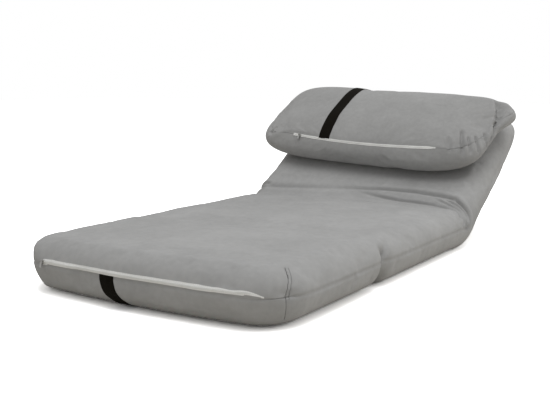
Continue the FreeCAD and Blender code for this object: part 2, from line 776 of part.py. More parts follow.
stack = plate_thick / 2 + plate_gap + cheek_thick
for side, sx in (("left", -1.0), ("right", 1.0)):
    at = (rail_place * sx, seat_half, hinge_height)
    inner = cheek(side + "_cheek_a", plate_thick / 2 + plate_gap)
    outer = cheek(side + "_cheek_b", -stack)
    place_node(compound_of(side + "_cheek_pair", [inner, outer]), side + "_hinge_cheeks", at)
    place_node(rivet(side + "_pivot", nil, nil, pivot_radius, dim(9), dim(2.6), stack),
               side + "_pivot_rivet", at)
    place_node(rivet(side + "_pin", pin_y, pin_z, pawl_pin / 2, dim(5), dim(1.6), stack),
               side + "_pawl_pin", at)
    place_node(spring_leaf(side + "_leaf"), side + "_pawl_spring", at)
    place_node(toothed_plate(side + "_plate"), side + "_ratchet_plate", at, rest_angle)
    place_node(pawl(side + "_catch"), side + "_pawl",
               (at[0], seat_half + pin_y, hinge_height + pin_z), -pawl_lift)
tube_reach = tube_diameter / 2
seat_rivet_list = []
back_rivet_list = []
for side, sx in (("left", -1.0), ("right", 1.0)):
    for i in range(2):
        seat_rivet_list.append(rivet("seat_rivet_%s_%d" % (side, i + 1), seat_holes[i], hinge_height,
                                     rivet_diameter / 2, dim(4), dim(1.4), tube_reach,
                                     rail_place * sx))
        back_rivet_list.append(rivet("back_rivet_%s_%d" % (side, i + 1), back_holes[i], nil,
                                     rivet_diameter / 2, dim(4), dim(1.4), tube_reach,
                                     rail_place * sx))
place_node(compound_of("seat_rivet_set", seat_rivet_list), "seat_tube_rivets", SEAT_AT)
place_node(compound_of("back_rivet_set", back_rivet_list), "back_tube_rivets", JOINT_AT, rest_angle)
print("hinges done")

# Waist pad: the soft filling of the joint gap between the hinges, drawn at rest
waist = new_body("waist_block")
waist_sketch = sketch_on(waist, "waist_profile", "YZ_Plane")
c = dim(0.3)
wz = side_height - hinge_height
seat_face = -hinge_gap
lt = d_tan(lean)
lowest = -(hinge_height - dim(10))
back_low_y = hinge_gap * d_cos(rest_angle) - lowest * d_sin(rest_angle)
back_low_z = hinge_gap * d_sin(rest_angle) + lowest * d_cos(rest_angle)
draw_path(waist_sketch, [(seat_face + c, lowest), (back_low_y - c, back_low_z - c * 0.5),
                         (hinge_gap * d_cos(rest_angle) - c * 1.6, hinge_gap * d_sin(rest_angle)),
                         (hinge_gap * d_cos(rest_angle) - c * 1.6, wz - 14),
                         (seat_face - (wz - 8) * lt + c * 1.2, wz - 8),
                         (seat_face + c * 1.2, nil)],
          {0: dim(5), 3: dim(3)}, True)
pad(waist, "waist_pad_run", waist_sketch, (rail_place - pocket_width / 2 - 4) * 2, True)
place_node(waist, "waist_pad", (nil, seat_half, hinge_height))

# Fold cord: a bead on the fold axis with its flange sewn to the seat cover
cord = new_body("fold_cord")
cord_sketch = sketch_on(cord, "fold_cord_profile", "YZ_Plane")
bead = dim(1.2)
draw_circle(cord_sketch, nil, nil, bead)
pad(cord, "fold_cord_bead", cord_sketch, dim(600), True)
flange = sketch_on(cord, "fold_flange_profile", "YZ_Plane")
draw_path(flange, [(fold_gap - 0.8, -dim(24)), (fold_gap, -dim(24)), (fold_gap, -dim(0.2)),
                   (fold_gap - 0.8, -dim(0.2))], {}, True)
pad(cord, "fold_cord_flange", flange, dim(600), True)
place_node(cord, "fold_seam_cord", (nil, -seat_half, fold_height))
print("joint soft parts done")


# Pillow, lofted along its length through lens-shaped sections
stations = [(0.0, 1.0, 1.0), (0.34, 1.0, 0.955), (0.65, 0.985, 0.79), (0.86, 0.87, 0.55),
            (0.96, 0.72, 0.36), (1.0, 0.54, 0.24)]


def pillow_solid(label, inset, inset_low):
    body = new_body(label)
    sections = []
    marks = [(-f, b, t) for f, b, t in reversed(stations[1:])] + list(stations)
    for i, (f, b, t) in enumerate(marks):
        end = abs(f) > 0.99
        reach = pillow_half_length - inset if end else pillow_half_length
        sk = sketch_on(body, "%s_section_%d" % (label, i + 1), "YZ_Plane", reach * f)
        bb = pillow_half_depth * b - inset
        up = pillow_rise * t - inset
        down = pillow_drop * t - inset_low
        shoulder = 0.68
        level = 0.777
        chord_up = d_sqrt(bb * bb * (1 - shoulder) * (1 - shoulder) + up * up * level * level)
        chord_down = d_sqrt(bb * bb * (1 - shoulder) * (1 - shoulder) + down * down * level * level)
        points = [(-bb, nil), (-bb * shoulder, -down * level), (bb * shoulder, -down * level),
                  (bb, nil), (bb * shoulder, up * level), (-bb * shoulder, up * level)]
        bulges = {0: chord_down * 0.14, 1: down * (1 - level), 2: chord_down * 0.14,
                  3: chord_up * 0.14, 4: up * (1 - level), 5: chord_up * 0.14}
        draw_path(sk, points, bulges, True)
        sections.append(sk)
    doc.recompute()
    loft = body.newObject("PartDesign::AdditiveLoft", label + "_loft")
    loft.Profile = sections[0]
    loft.Sections = sections[1:]
    loft.Ruled = False
    doc.recompute()
    return body


def place_pillow(obj, label):
    """The pillow frame: raised with the back, then turned about the back's own normal."""
    obj.Label = label
    up = pillow_drop + side_height + crown - hinge_height + pillow_gap
    c_r = d_cos(rest_angle)
    s_r = d_sin(rest_angle)
    obj.setExpression("Placement.Base.x", pillow_across.text)
    obj.setExpression("Placement.Base.y", (seat_half + pillow_along * c_r - up * s_r).text)
    obj.setExpression("Placement.Base.z", (hinge_height + pillow_along * s_r + up * c_r).text)
    # Rotation about X by the back angle combined with the turn about the local normal
    half_a = rest_angle / 2
    half_b = pillow_turn / 2
    w = d_cos(half_a) * d_cos(half_b)
    qx = d_sin(half_a) * d_cos(half_b)
    qy = -(d_sin(half_a) * d_sin(half_b))
    qz = d_cos(half_a) * d_sin(half_b)
    norm = d_sqrt(qx * qx + qy * qy + qz * qz)
    obj.Placement = FreeCAD.Placement(obj.Placement.Base, FreeCAD.Rotation(V(1, 0, 0), 1))
    obj.setExpression("Placement.Rotation.Axis.x", (qx / norm).text)
    obj.setExpression("Placement.Rotation.Axis.y", (qy / norm).text)
    obj.setExpression("Placement.Rotation.Axis.z", (qz / norm).text)
    obj.setExpression("Placement.Rotation.Angle", "2 * acos(%s)" % w.text)
    made[label] = obj
    doc.recompute()
    return obj


pillow_cloth = dim(1.6)
pillow_outer = pillow_solid("pillow_outer", nil, nil)
pillow_inner = pillow_solid("pillow_inner", pillow_cloth, pillow_cloth)
place_pillow(cut_of("pillow_shell", pillow_outer, pillow_inner), "pillow_cover")
place_pillow(pillow_solid("pillow_core", pillow_cloth + 0.3, pillow_cloth + 0.12), "pillow_fill")
pillow_skin = pillow_solid("pillow_skin", -skin, -skin)
pillow_tape = pillow_solid("pillow_tape", -skin - 1, -skin - 1)
pillow_tape_shell = cut_of("pillow_tape_shell", pillow_tape, pillow_skin)
pillow_tape_box = box_of("pillow_tape_box", pillow_zip_left, pillow_zip_right, -pillow_half_depth - 10,
                         -dim(60), pillow_zip_level - pillow_zip_height / 2,
                         pillow_zip_level + pillow_zip_height / 2)
place_pillow(common_of("pillow_tape_strip", pillow_tape_shell, pillow_tape_box), "pillow_zip_tape")
pillow_band_box = box_of("pillow_band_box", pillow_band_place - band_width / 2,
                         pillow_band_place + band_width / 2, -pillow_half_depth - 10,
                         pillow_half_depth * 0.9, pillow_zip_level + pillow_zip_height / 2 + 0.2,
                         pillow_rise + 10)
pillow_band = pillow_solid("pillow_band_form", -skin - 1.4, -skin - 1.4)
pillow_band_shell = cut_of("pillow_band_shell", pillow_band, pillow_skin)
place_pillow(common_of("pillow_band_strip", pillow_band_shell, pillow_band_box), "pillow_band")
print("pillow done")


# Zip sliders with their pulls; both run along arcs that follow the sewn zip lines
def slider(label):
    body = new_body(label)
    yz_pad(body, label + "_plate", [(-dim(1.5), -dim(5)), (dim(1.5), -dim(4.2)), (dim(1.5), dim(4.2)),
                                    (-dim(1.5), dim(5))], {}, -dim(4), dim(8))
    yz_pad(body, label + "_lug", [(-dim(3.6), dim(1.2)), (-dim(1), dim(0)), (-dim(1), dim(4)),
                                  (-dim(3.6), dim(2.8))], {}, -dim(1.2), dim(2.4))
    yz_disc(body, label + "_bar", -dim(3.2), dim(2), dim(0.8), -dim(3.7), dim(7.4))
    yz_disc(body, label + "_stop_a", -dim(3.2), dim(2), dim(1.3), dim(3.2), dim(0.5))
    yz_disc(body, label + "_stop_b", -dim(3.2), dim(2), dim(1.3), -dim(3.7), dim(0.5))
    return body


def pull_tab(label):
    """Drawn about its bar, hanging."""
    body = new_body(label)
    yz_pad(body, label + "_tab", [(-dim(0.5), -dim(14)), (dim(0.5), -dim(14)), (dim(0.5), -dim(3.6)),
                                  (-dim(0.5), -dim(3.6))], {}, -dim(2.9), dim(5.8))
    for tag, x in (("a", dim(1.5)), ("b", -dim(2.9))):
        yz_pad(body, "%s_arm_%s" % (label, tag), [(-dim(0.5), -dim(4)), (dim(0.5), -dim(4)),
                                                  (dim(0.5), -dim(0.6)), (-dim(0.5), -dim(0.6))],
               {}, x, dim(1.4))
        yz_disc(body, "%s_eye_%s" % (label, tag), nil, nil, dim(1.6), x, dim(1.4))
    yz_hole(body, label + "_bore", nil, nil, dim(0.8) + bore_clearance)
    return body


def turn_parts(obj, first, second, third=None):
    """Placement rotation from quaternion expressions (x, y, z, w)."""
    qx, qy, qz, qw = first
    norm = d_sqrt(qx * qx + qy * qy + qz * qz)
    obj.Placement = FreeCAD.Placement(obj.Placement.Base, FreeCAD.Rotation(V(1, 0, 0), 1))
    obj.setExpression("Placement.Rotation.Axis.x", (qx / norm).text)
    obj.setExpression("Placement.Rotation.Axis.y", (qy / norm).text)
    obj.setExpression("Placement.Rotation.Axis.z", (qz / norm).text)
    obj.setExpression("Placement.Rotation.Angle", "2 * acos(%s)" % qw.text)


def quat_x(angle):
    return (d_sin(angle / 2), nil, nil, d_cos(angle / 2))


def quat_z(angle):
    return (nil, nil, d_sin(angle / 2), d_cos(angle / 2))


def quat_mul(a, b):
    ax, ay, az, aw = a
    bx, by, bz, bw = b
    return (aw * bx + ax * bw + ay * bz - az * by,
            aw * by - ax * bz + ay * bw + az * bx,
            aw * bz + ax * by - ay * bx + az * bw,
            aw * bw - ax * bx - ay * by - az * bz)


def rotated(q, v):
    x, y, z, w = q
    vx, vy, vz = v
    tx_ = (y * vz - z * vy) * 2
    ty_ = (z * vx - x * vz) * 2
    tz_ = (x * vy - y * vx) * 2
    return (vx + w * tx_ + y * tz_ - z * ty_,
            vy + w * ty_ + z * tx_ - x * tz_,
            vz + w * tz_ + x * ty_ - y * tx_)


def put(obj, label, where, q):
    obj.Label = label
    turn_parts(obj, q, None)
    for axis, value in zip("xyz", where):
        obj.setExpression("Placement.Base.%s" % axis, value.text)
    made[label] = obj
    doc.recompute()
    value = obj.Placement.Base
    print(label, "at", round(value.x, 4), round(value.y, 4), round(value.z, 4),
          "x axis", obj.Placement.Rotation.multVec(V(1, 0, 0)),
          "z axis", obj.Placement.Rotation.multVec(V(0, 0, 1)))


foot_slider_x = size("foot_slider_x", -228, "front zip slider at its closed end")
foot_slider_gap = size("foot_slider_gap", 0.6, "slider off the zip tape")
pillow_slider_x = size("pillow_slider_x", -196, "pillow zip slider at its closed end")
pillow_slider_gap = size("pillow_slider_gap", 1.6, "slider off the pillow zip tape")
pillow_arc = size("pillow_arc", 2005, "radius of the pillow zip line")
pillow_zip_front = size("pillow_zip_front", 132.7, "zip line in front of the pillow middle")
pillow_zip_tilt = size("pillow_zip_tilt", 51, "slope of the pillow front at its zip")
doc.recompute()
arc_radius = (half * half + foot_bow * foot_bow) / (foot_bow * 2)
arc_centre_y = -seat_half - foot_length - foot_bow + arc_radius
rise_over = foot_zip_level - (side_height + crown - top_round)
set_back = top_round - d_sqrt(top_round * top_round - rise_over * rise_over)
tilt = Dim("asin(%s) / 1deg" % (rise_over / top_round).text,
           math.degrees(math.asin((rise_over / top_round).value)))
swing = Dim("asin(%s) / 1deg" % (foot_slider_x / arc_radius).text,
            math.degrees(math.asin((foot_slider_x / arc_radius).value)))
stand_off = skin + tape_thick + foot_slider_gap + 1.5
radial = arc_radius - set_back + stand_off * d_cos(tilt)
q_foot = quat_mul(quat_z(swing), quat_x(-tilt))
foot_slider_at = (radial * d_sin(swing), arc_centre_y - radial * d_cos(swing),
                  foot_zip_level + stand_off * d_sin(tilt))
put(slider("foot_zip_runner"), "foot_zip_slider", foot_slider_at, q_foot)
bar = rotated(q_foot, (nil, -dim(3.2), dim(2)))
put(pull_tab("foot_zip_tab"), "foot_zip_pull", tuple(a + b for a, b in zip(foot_slider_at, bar)), q_foot)
print("foot zip arc centre", arc_centre_y.value, "radius", radial.value)

up = pillow_drop + side_height + crown - hinge_height + pillow_gap
pillow_base = (pillow_across,
               seat_half + pillow_along * d_cos(rest_angle) - up * d_sin(rest_angle),
               hinge_height + pillow_along * d_sin(rest_angle) + up * d_cos(rest_angle))
q_pillow = quat_mul(quat_x(rest_angle), quat_z(pillow_turn))
swing_p = Dim("asin(%s) / 1deg" % (pillow_slider_x / pillow_arc).text,
              math.degrees(math.asin((pillow_slider_x / pillow_arc).value)))
stand_p = skin + 1 + pillow_slider_gap + 1.5
radial_p = pillow_arc + stand_p * d_cos(pillow_zip_tilt)
centre_p = pillow_arc - pillow_zip_front
own_at = (radial_p * d_sin(swing_p), centre_p - radial_p * d_cos(swing_p),
          pillow_zip_level + stand_p * d_sin(pillow_zip_tilt))
q_own = quat_mul(quat_mul(q_pillow, quat_z(swing_p)), quat_x(-pillow_zip_tilt))
moved = rotated(q_pillow, own_at)
pillow_slider_at = tuple(a + b for a, b in zip(pillow_base, moved))
put(slider("pillow_zip_runner"), "pillow_zip_slider", pillow_slider_at, q_own)
bar = rotated(q_own, (nil, -dim(3.2), dim(2)))
put(pull_tab("pillow_zip_tab"), "pillow_zip_pull",
    tuple(a + b for a, b in zip(pillow_slider_at, bar)), q_own)
centre = rotated(q_pillow, (nil, centre_p, nil))
print("pillow zip arc centre", [round((a + b).value, 4) for a, b in zip(pillow_base, centre)])
print("pawl pivot", seat_half.value + pin_y.value, hinge_height.value + pin_z.value)
print("pillow normal", [round(v.value, 6) for v in rotated(q_pillow, (nil, nil, dim(1)))])

doc.recompute()
total = 0
os.makedirs("parts", exist_ok=True)
for item in doc.Objects:
    for word in ("Invalid", "Error"):
        if word in item.State:
            raise ValueError("%s is %s" % (item.Name, item.State))
for label, obj in made.items():
    shape = obj.Shape
    if shape.isNull() or not shape.isValid() or not shape.Solids:
        raise ValueError("bad shape in " + label)
    shape.exportStep("parts/%s.step" % label)
    box = shape.BoundBox
    print("%-20s solids %d vol %9.1f  x %.1f %.1f  y %.1f %.1f  z %.1f %.1f" % (
        label, len(shape.Solids), shape.Volume / 1000.0, box.XMin, box.XMax, box.YMin, box.YMax,
        box.ZMin, box.ZMax))
    total += 1
print("nodes", total)
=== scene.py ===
# %% [markdown]
# # A convertible chair bed, dressed in Blender
# The real thing is three foam sections in one grey cover: a foot section that flips over
# onto the seat, the seat itself, and a back that reclines on two hidden ratchet hinges.
# A loose pillow lies on the back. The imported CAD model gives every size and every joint,
# so this lesson loads it first and then builds only what the eye sees: cloth, seams,
# zips and webbing. All lengths are in metres, in the frame of the CAD model.

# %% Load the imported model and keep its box
import math

import bmesh
import bpy
import numpy as np
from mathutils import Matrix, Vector
from mathutils.bvhtree import BVHTree


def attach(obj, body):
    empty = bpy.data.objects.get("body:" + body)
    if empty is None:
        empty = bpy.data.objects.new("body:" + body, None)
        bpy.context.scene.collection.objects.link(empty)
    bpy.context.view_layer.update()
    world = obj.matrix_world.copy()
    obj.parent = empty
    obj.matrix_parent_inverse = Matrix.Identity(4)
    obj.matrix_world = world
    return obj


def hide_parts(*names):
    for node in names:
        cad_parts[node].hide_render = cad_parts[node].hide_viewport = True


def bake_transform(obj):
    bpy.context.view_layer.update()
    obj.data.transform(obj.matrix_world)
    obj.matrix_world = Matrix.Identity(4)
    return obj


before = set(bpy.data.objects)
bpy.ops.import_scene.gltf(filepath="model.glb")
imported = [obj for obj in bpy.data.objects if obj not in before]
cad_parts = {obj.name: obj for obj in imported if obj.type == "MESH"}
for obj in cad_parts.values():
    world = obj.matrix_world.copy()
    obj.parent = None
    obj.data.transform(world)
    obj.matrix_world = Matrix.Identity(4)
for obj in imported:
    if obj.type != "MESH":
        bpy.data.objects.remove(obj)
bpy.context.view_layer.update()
scene = bpy.context.scene
scene.view_settings.view_transform = "Standard"

# %% [markdown]
# ## The camera comes first
# A shape can only be judged from the place where the photograph was taken. The lens and
# the place come from fitting the outline of the chair bed; the small shift frames it
# without turning the camera, so upright edges stay as they are.

# %% Camera
SHOT_FROM = Vector((1.0571, -1.8213, 0.4335))
SHOT_AT = Vector((0.0, -0.1957, 0.0))
LENS = 53.84
FRAME_SHIFT = (0.0173, 0.1071)

eye_data = bpy.data.cameras.new("photo_camera")
eye = bpy.data.objects.new("photo_camera", eye_data)
scene.collection.objects.link(eye)
eye_data.sensor_width = 36.0
eye_data.lens = LENS
eye_data.shift_x, eye_data.shift_y = FRAME_SHIFT
eye.location = SHOT_FROM
eye.rotation_euler = (SHOT_AT - SHOT_FROM).to_track_quat("-Z", "Y").to_euler()
scene.camera = eye
print("camera distance %.3f m" % (SHOT_AT - SHOT_FROM).length)

# %% [markdown]
# ## Light and floor
# The photograph is a plain catalogue shot: soft light from all round, a little stronger
# from above, on white. A pale world gives the soft part and one large lamp overhead the
# stronger part. A smaller lamp behind the right side keeps the back and the near sides
# from going flat. The floor could be lit until it turns white, but that would bleach the
# cloth too. Here the cushions get the light of a pale beige floor, and only the camera
# sees it as a much brighter plain colour, which stays white except in the shadow.

# %% World, lamps and floor
SKY_STRENGTH = 0.46
FLOOR_SIZE = 14.0
FLOOR_DROP = 0.0008
FLOOR_GLOW = 2.7

world = bpy.data.worlds.new("studio")
scene.world = world
world.use_nodes = True
sky = world.node_tree
sky.nodes.clear()
sky_out = sky.nodes.new("ShaderNodeOutputWorld")
sky_mix = sky.nodes.new("ShaderNodeMixShader")
sky_soft = sky.nodes.new("ShaderNodeBackground")
sky_white = sky.nodes.new("ShaderNodeBackground")
sky_path = sky.nodes.new("ShaderNodeLightPath")
sky_soft.inputs["Color"].default_value = (1.0, 1.0, 1.0, 1.0)
sky_soft.inputs["Strength"].default_value = SKY_STRENGTH
sky_white.inputs["Color"].default_value = (1.0, 1.0, 1.0, 1.0)
sky_white.inputs["Strength"].default_value = 1.0
sky.links.new(sky_path.outputs["Is Camera Ray"], sky_mix.inputs["Fac"])
sky.links.new(sky_soft.outputs["Background"], sky_mix.inputs[1])
sky.links.new(sky_white.outputs["Background"], sky_mix.inputs[2])
sky.links.new(sky_mix.outputs["Shader"], sky_out.inputs["Surface"])


def lamp(name, place, aim, size, watts):
    """A square area lamp that looks at a point."""
    data = bpy.data.lights.new(name, "AREA")
    data.shape = "SQUARE"
    data.size = size
    data.energy = watts
    obj = bpy.data.objects.new(name, data)
    obj.location = place
    obj.rotation_euler = (Vector(aim) - Vector(place)).to_track_quat("-Z", "Y").to_euler()
    scene.collection.objects.link(obj)
    return obj


lamp("top_softbox", place=(0.4, -0.35, 3.0), aim=(0.0, 0.0, 0.0), size=2.4, watts=45.0)
lamp("side_softbox", place=(2.5, 2.2, 1.1), aim=(0.3, 0.5, 0.25), size=1.4, watts=19.0)

floor_mesh = bpy.data.meshes.new("studio_floor")
bm = bmesh.new()
bmesh.ops.create_grid(bm, x_segments=1, y_segments=1, size=FLOOR_SIZE)
bm.to_mesh(floor_mesh)
bm.free()
floor = bpy.data.objects.new("studio_floor", floor_mesh)
floor.location = (0.0, 0.0, -FLOOR_DROP)
scene.collection.objects.link(floor)

floor_mat = bpy.data.materials.new("floor_white")
floor_mat.use_nodes = True
floor_tree = floor_mat.node_tree
floor_bsdf = floor_tree.nodes["Principled BSDF"]
floor_bsdf.inputs["Base Color"].default_value = (0.70, 0.67, 0.61, 1.0)
floor_bsdf.inputs["Roughness"].default_value = 0.9
floor_bsdf.inputs["Specular IOR Level"].default_value = 0.1
floor_seen = floor_tree.nodes.new("ShaderNodeBsdfDiffuse")
floor_seen.inputs["Color"].default_value = (FLOOR_GLOW, FLOOR_GLOW, FLOOR_GLOW, 1.0)
floor_mix = floor_tree.nodes.new("ShaderNodeMixShader")
floor_path = floor_tree.nodes.new("ShaderNodeLightPath")
floor_out = floor_tree.nodes["Material Output"]
floor_tree.links.new(floor_path.outputs["Is Camera Ray"], floor_mix.inputs["Fac"])
floor_tree.links.new(floor_bsdf.outputs["BSDF"], floor_mix.inputs[1])
floor_tree.links.new(floor_seen.outputs["BSDF"], floor_mix.inputs[2])
floor_tree.links.new(floor_mix.outputs["Shader"], floor_out.inputs["Surface"])
floor.data.materials.append(floor_mat)
print("stage ready")

# %% [markdown]
# ## Small helpers for the cloth pieces
# Every cushion starts as flat grids, like a cut cloth, and is then bent, puffed and
# creased. The helpers turn a bmesh into an object and read or write all its points at
# once, because a cushion has tens of thousands of them. Each point also stores two marks
# that last through every later step: "flat", its place before bending, and "cut", its
# place on the cut cloth with a third number that is 1 on the seam and 0 elsewhere.

# %% Mesh helpers
def object_from(bm, name):
    """Makes a smooth-shaded object of a bmesh, standing at the origin."""
    mesh = bpy.data.meshes.new(name)
    bm.to_mesh(mesh)
    bm.free()
    obj = bpy.data.objects.new(name, mesh)
    scene.collection.objects.link(obj)
    mesh.polygons.foreach_set("use_smooth", [True] * len(mesh.polygons))
    return obj


def points_of(mesh):
    """All vertex places of a mesh as rows of x, y, z."""
    flat = np.zeros(len(mesh.vertices) * 3)
    mesh.vertices.foreach_get("co", flat)
    return flat.reshape(-1, 3)


def set_points(mesh, places):
    """Writes the rows of x, y, z back to the mesh."""
    mesh.vertices.foreach_set("co", places.astype(np.float32).ravel())
    mesh.update()


def normals_of(mesh):
    """The outward direction at every vertex, in the same rows."""
    flat = np.zeros(len(mesh.vertices) * 3)
    mesh.vertex_normals.foreach_get("vector", flat)
    return flat.reshape(-1, 3)


def smoothstep(low, high, value):
    """0 below low, 1 above high, and a soft S curve between."""
    t = np.clip((value - low) / (high - low), 0.0, 1.0)
    return t * t * (3.0 - 2.0 * t)


def apply_modifiers(obj):
    """Replaces the mesh by what its modifiers make of it."""
    graph = bpy.context.evaluated_depsgraph_get()
    done = bpy.data.meshes.new_from_object(obj.evaluated_get(graph))
    obj.modifiers.clear()
    old = obj.data
    obj.data = done
    bpy.data.meshes.remove(old)


def marks_of(obj, name):
    """A stored mark of every point, as three columns."""
    flat = np.zeros(len(obj.data.vertices) * 3)
    obj.data.attributes[name].data.foreach_get("vector", flat)
    return flat.reshape(-1, 3).T


def tree_of(obj):
    """A search tree that finds the nearest place on the surface of a piece."""
    bm = bmesh.new()
    bm.from_mesh(obj.data)
    tree = BVHTree.FromBMesh(bm)
    bm.free()
    return tree


# %% Sewing helpers
def cloth_panel(places, cloth, uv_shift, turn_over):
    """One grid of cloth, bent to its places, with its marks and its cloth coordinates as UV."""
    x, y, z = places
    cloth_u, cloth_v = cloth
    rows, cols = x.shape
    bm = bmesh.new()
    bmesh.ops.create_grid(bm, x_segments=cols - 1, y_segments=rows - 1, size=1.0)
    uv = bm.loops.layers.uv.new("cloth")
    flat_mark = bm.verts.layers.float_vector.new("flat")
    cut_mark = bm.verts.layers.float_vector.new("cut")
    grid = {}
    for v in bm.verts:
        grid[v] = (round((v.co.y + 1.0) / 2.0 * (rows - 1)), round((v.co.x + 1.0) / 2.0 * (cols - 1)))
    for v, (j, i) in grid.items():
        v.co = (x[j, i], y[j, i], z[j, i])
        v[flat_mark] = v.co
        rim = 1.0 if i in (0, cols - 1) or j in (0, rows - 1) else 0.0
        v[cut_mark] = (cloth_u[j, i], cloth_v[j, i], rim)
    for face in bm.faces:
        for loop in face.loops:
            j, i = grid[loop.vert]
            loop[uv].uv = (cloth_u[j, i] + uv_shift, cloth_v[j, i])
    if turn_over:
        bmesh.ops.reverse_faces(bm, faces=bm.faces)
    return bm


def sewn_case(top, low, name):
    """Joins a top and a bottom panel along their rims into one closed case."""
    holder = bpy.data.meshes.new("holder")
    low.to_mesh(holder)
    low.free()
    top.from_mesh(holder)
    bpy.data.meshes.remove(holder)
    bmesh.ops.remove_doubles(top, verts=top.verts, dist=1e-5)
    return object_from(top, name)


# %% [markdown]
# ## The cover: two cloth sheets sewn along the waist line
# The big cover is cut like a pillow case: a top sheet and a bottom sheet that meet about
# half way down the side. A box with rounded edges would be quicker, but its faces would
# stretch the weave. So each sheet is a plain grid whose outer rows are wrapped round the
# edge of the foam by arc length: the squares of the grid stay square and the weave can
# follow them as a UV map. The three sections are laid out flat first and the back is
# raised afterwards, just as the real thing is sewn flat and then bent.

# %% Sizes of the cover
HALF_W = 0.345  # half the width
SIDE_H = 0.106  # height of the top at the sides
CROWN = 0.004  # how much higher the middle stands
FRONT_Y = -0.670  # front edge at the sides
FRONT_BOW = 0.026  # how far the front edge bows out in its middle
HEAD_Y = 0.731  # head edge while the cover lies flat
PLAN_R = 0.092  # corners seen from above
HEAD_SQUARE = 3.4  # power that makes the two head corners squarer
TOP_R = 0.052  # rounding of the top edge
LOW_R = 0.050  # rounding of the bottom edge
SEAM_Z = 0.0605  # height of the side seam
FOLD_Y = -0.266  # fold line between the foot section and the seat
HINGE_Y = 0.266  # line of the ratchet hinges
HINGE_Z = 0.055
REST = math.radians(33.0)  # how far the back stands up at rest
FOOT_LIFT = 0.0024  # how far the foot section clears the floor

# Squares of the grid: round a corner, across the middle and along the middle.
corner_n = 19
across_n = 76
along_n = 190
print("cover %.3f x %.3f x %.3f m when flat" % (2 * HALF_W, HEAD_Y - FRONT_Y + FRONT_BOW, SIDE_H + CROWN))

# %% The two sheets
def square_nodes(count_mid, span_low, span_high):
    """Grid lines: where each starts, and how far it goes out into a corner, from -1 to 1."""
    low = np.linspace(1.0, 0.0, corner_n + 1)[:-1]
    mid = np.linspace(span_low, span_high, count_mid + 1)
    high = np.linspace(0.0, 1.0, corner_n + 1)[1:]
    base = np.concatenate([np.full(corner_n, span_low), mid, np.full(corner_n, span_high)])
    out = np.concatenate([-low, np.zeros(count_mid + 1), high])
    return base, out


def sheet_places(side, radius, height):
    """Places and cloth coordinates of one sheet; its rim turns over a quarter ellipse."""
    girth = math.pi / 2 * math.sqrt((radius * radius + height * height) / 2)
    reach = PLAN_R - radius + girth
    base_x, out_x = square_nodes(across_n, -(HALF_W - PLAN_R), HALF_W - PLAN_R)
    base_y, out_y = square_nodes(along_n, FRONT_Y + PLAN_R, HEAD_Y - PLAN_R)
    bx, by = np.meshgrid(base_x, base_y)
    a, b = np.meshgrid(out_x, out_y)
    px = a * np.sqrt(1.0 - b * b / 2.0)
    py = b * np.sqrt(1.0 - a * a / 2.0)
    far = np.sqrt(px * px + py * py)
    ux = px / np.maximum(far, 1e-9)
    uy = py / np.maximum(far, 1e-9)
    run = far * reach
    past = np.maximum(run - (PLAN_R - radius), 0.0)
    turn = past / girth * math.pi / 2
    flat = np.minimum(run, PLAN_R - radius)
    plan = flat + radius * np.sin(turn)
    drop = height * (1.0 - np.cos(turn))
    # The head end has tighter corners: the round plan corner is pushed outward there.
    tight = np.maximum(np.abs(ux) ** HEAD_SQUARE + np.abs(uy) ** HEAD_SQUARE, 1e-9) ** (-1 / HEAD_SQUARE)
    grow = np.where(uy > 0, 1.0 + (tight - 1.0) * smoothstep(0.2, 1.0, far), 1.0)
    x = bx + ux * plan * grow
    y = by + uy * plan * grow
    if side > 0:
        # The crown fades out before the rim, so that both sheets meet at the seam.
        z = SIDE_H - drop + CROWN * (1.0 - (x / HALF_W) ** 2) * (1.0 - smoothstep(0.0, 0.040, drop))
    else:
        z = drop.copy()
    cloth_u = bx + px * reach
    cloth_v = by + py * reach
    return x, y, z, cloth_u, cloth_v


def make_sheet(side, radius, height):
    """One sheet of the cover; the bottom sheet has its own place on the UV map."""
    x, y, z, cloth_u, cloth_v = sheet_places(side, radius, height)
    return cloth_panel((x, y, z), (cloth_u, cloth_v), 0.0 if side > 0 else 2.0, side < 0)


cover = sewn_case(make_sheet(1, TOP_R, SIDE_H - SEAM_Z), make_sheet(-1, LOW_R, SEAM_Z), "cover_whole")
print("cover sheets:", len(cover.data.vertices), "points")

# %% [markdown]
# ## Raising the back and shaping the sections
# The flat cover is bowed at the front, lifted by a hair under the foot section, and the
# back is turned up about the hinge. A Simple Deform modifier could bend it too; a formula
# is used because it keeps the bent zone to a set span round the hinge.

# %% Bow, lift and bend
BEND_REACH = 0.064
BEND_LOW = HINGE_Y - BEND_REACH
BEND_HIGH = HINGE_Y + BEND_REACH


def raise_back(p):
    """Turns the points past the hinge up to the resting angle."""
    turn = REST * smoothstep(BEND_LOW, BEND_HIGH, p[:, 1])
    y = p[:, 1] - HINGE_Y
    z = p[:, 2] - HINGE_Z
    out = p.copy()
    out[:, 1] = HINGE_Y + y * np.cos(turn) - z * np.sin(turn)
    out[:, 2] = HINGE_Z + y * np.sin(turn) + z * np.cos(turn)
    return out


flat_places = points_of(cover.data)
p = flat_places.copy()
bow = FRONT_BOW * (1.0 - (p[:, 0] / HALF_W) ** 2) * (1.0 - smoothstep(-0.64, -0.40, p[:, 1]))
p[:, 1] -= bow
lift = np.where(p[:, 1] < FOLD_Y, FOOT_LIFT * (1.0 - p[:, 2] / SIDE_H), 0.0)
p[:, 2] += lift
p = raise_back(p)
set_points(cover.data, p)
print("highest cover point %.4f" % p[:, 2].max())

# %% [markdown]
# ## Puffing the cover with a cloth simulation
# Foam pushes a sewn cover outward, and the cloth is cut a little large, so it ripples
# softly. Sculpting ripples by hand tends to look carved. Blender's Cloth makes them by
# itself: pressure from inside, no gravity, and the joint zones and the underside pinned.
# The move of each point is capped, because foam is not a balloon. One subdivision
# afterwards gives room for the fine creases.

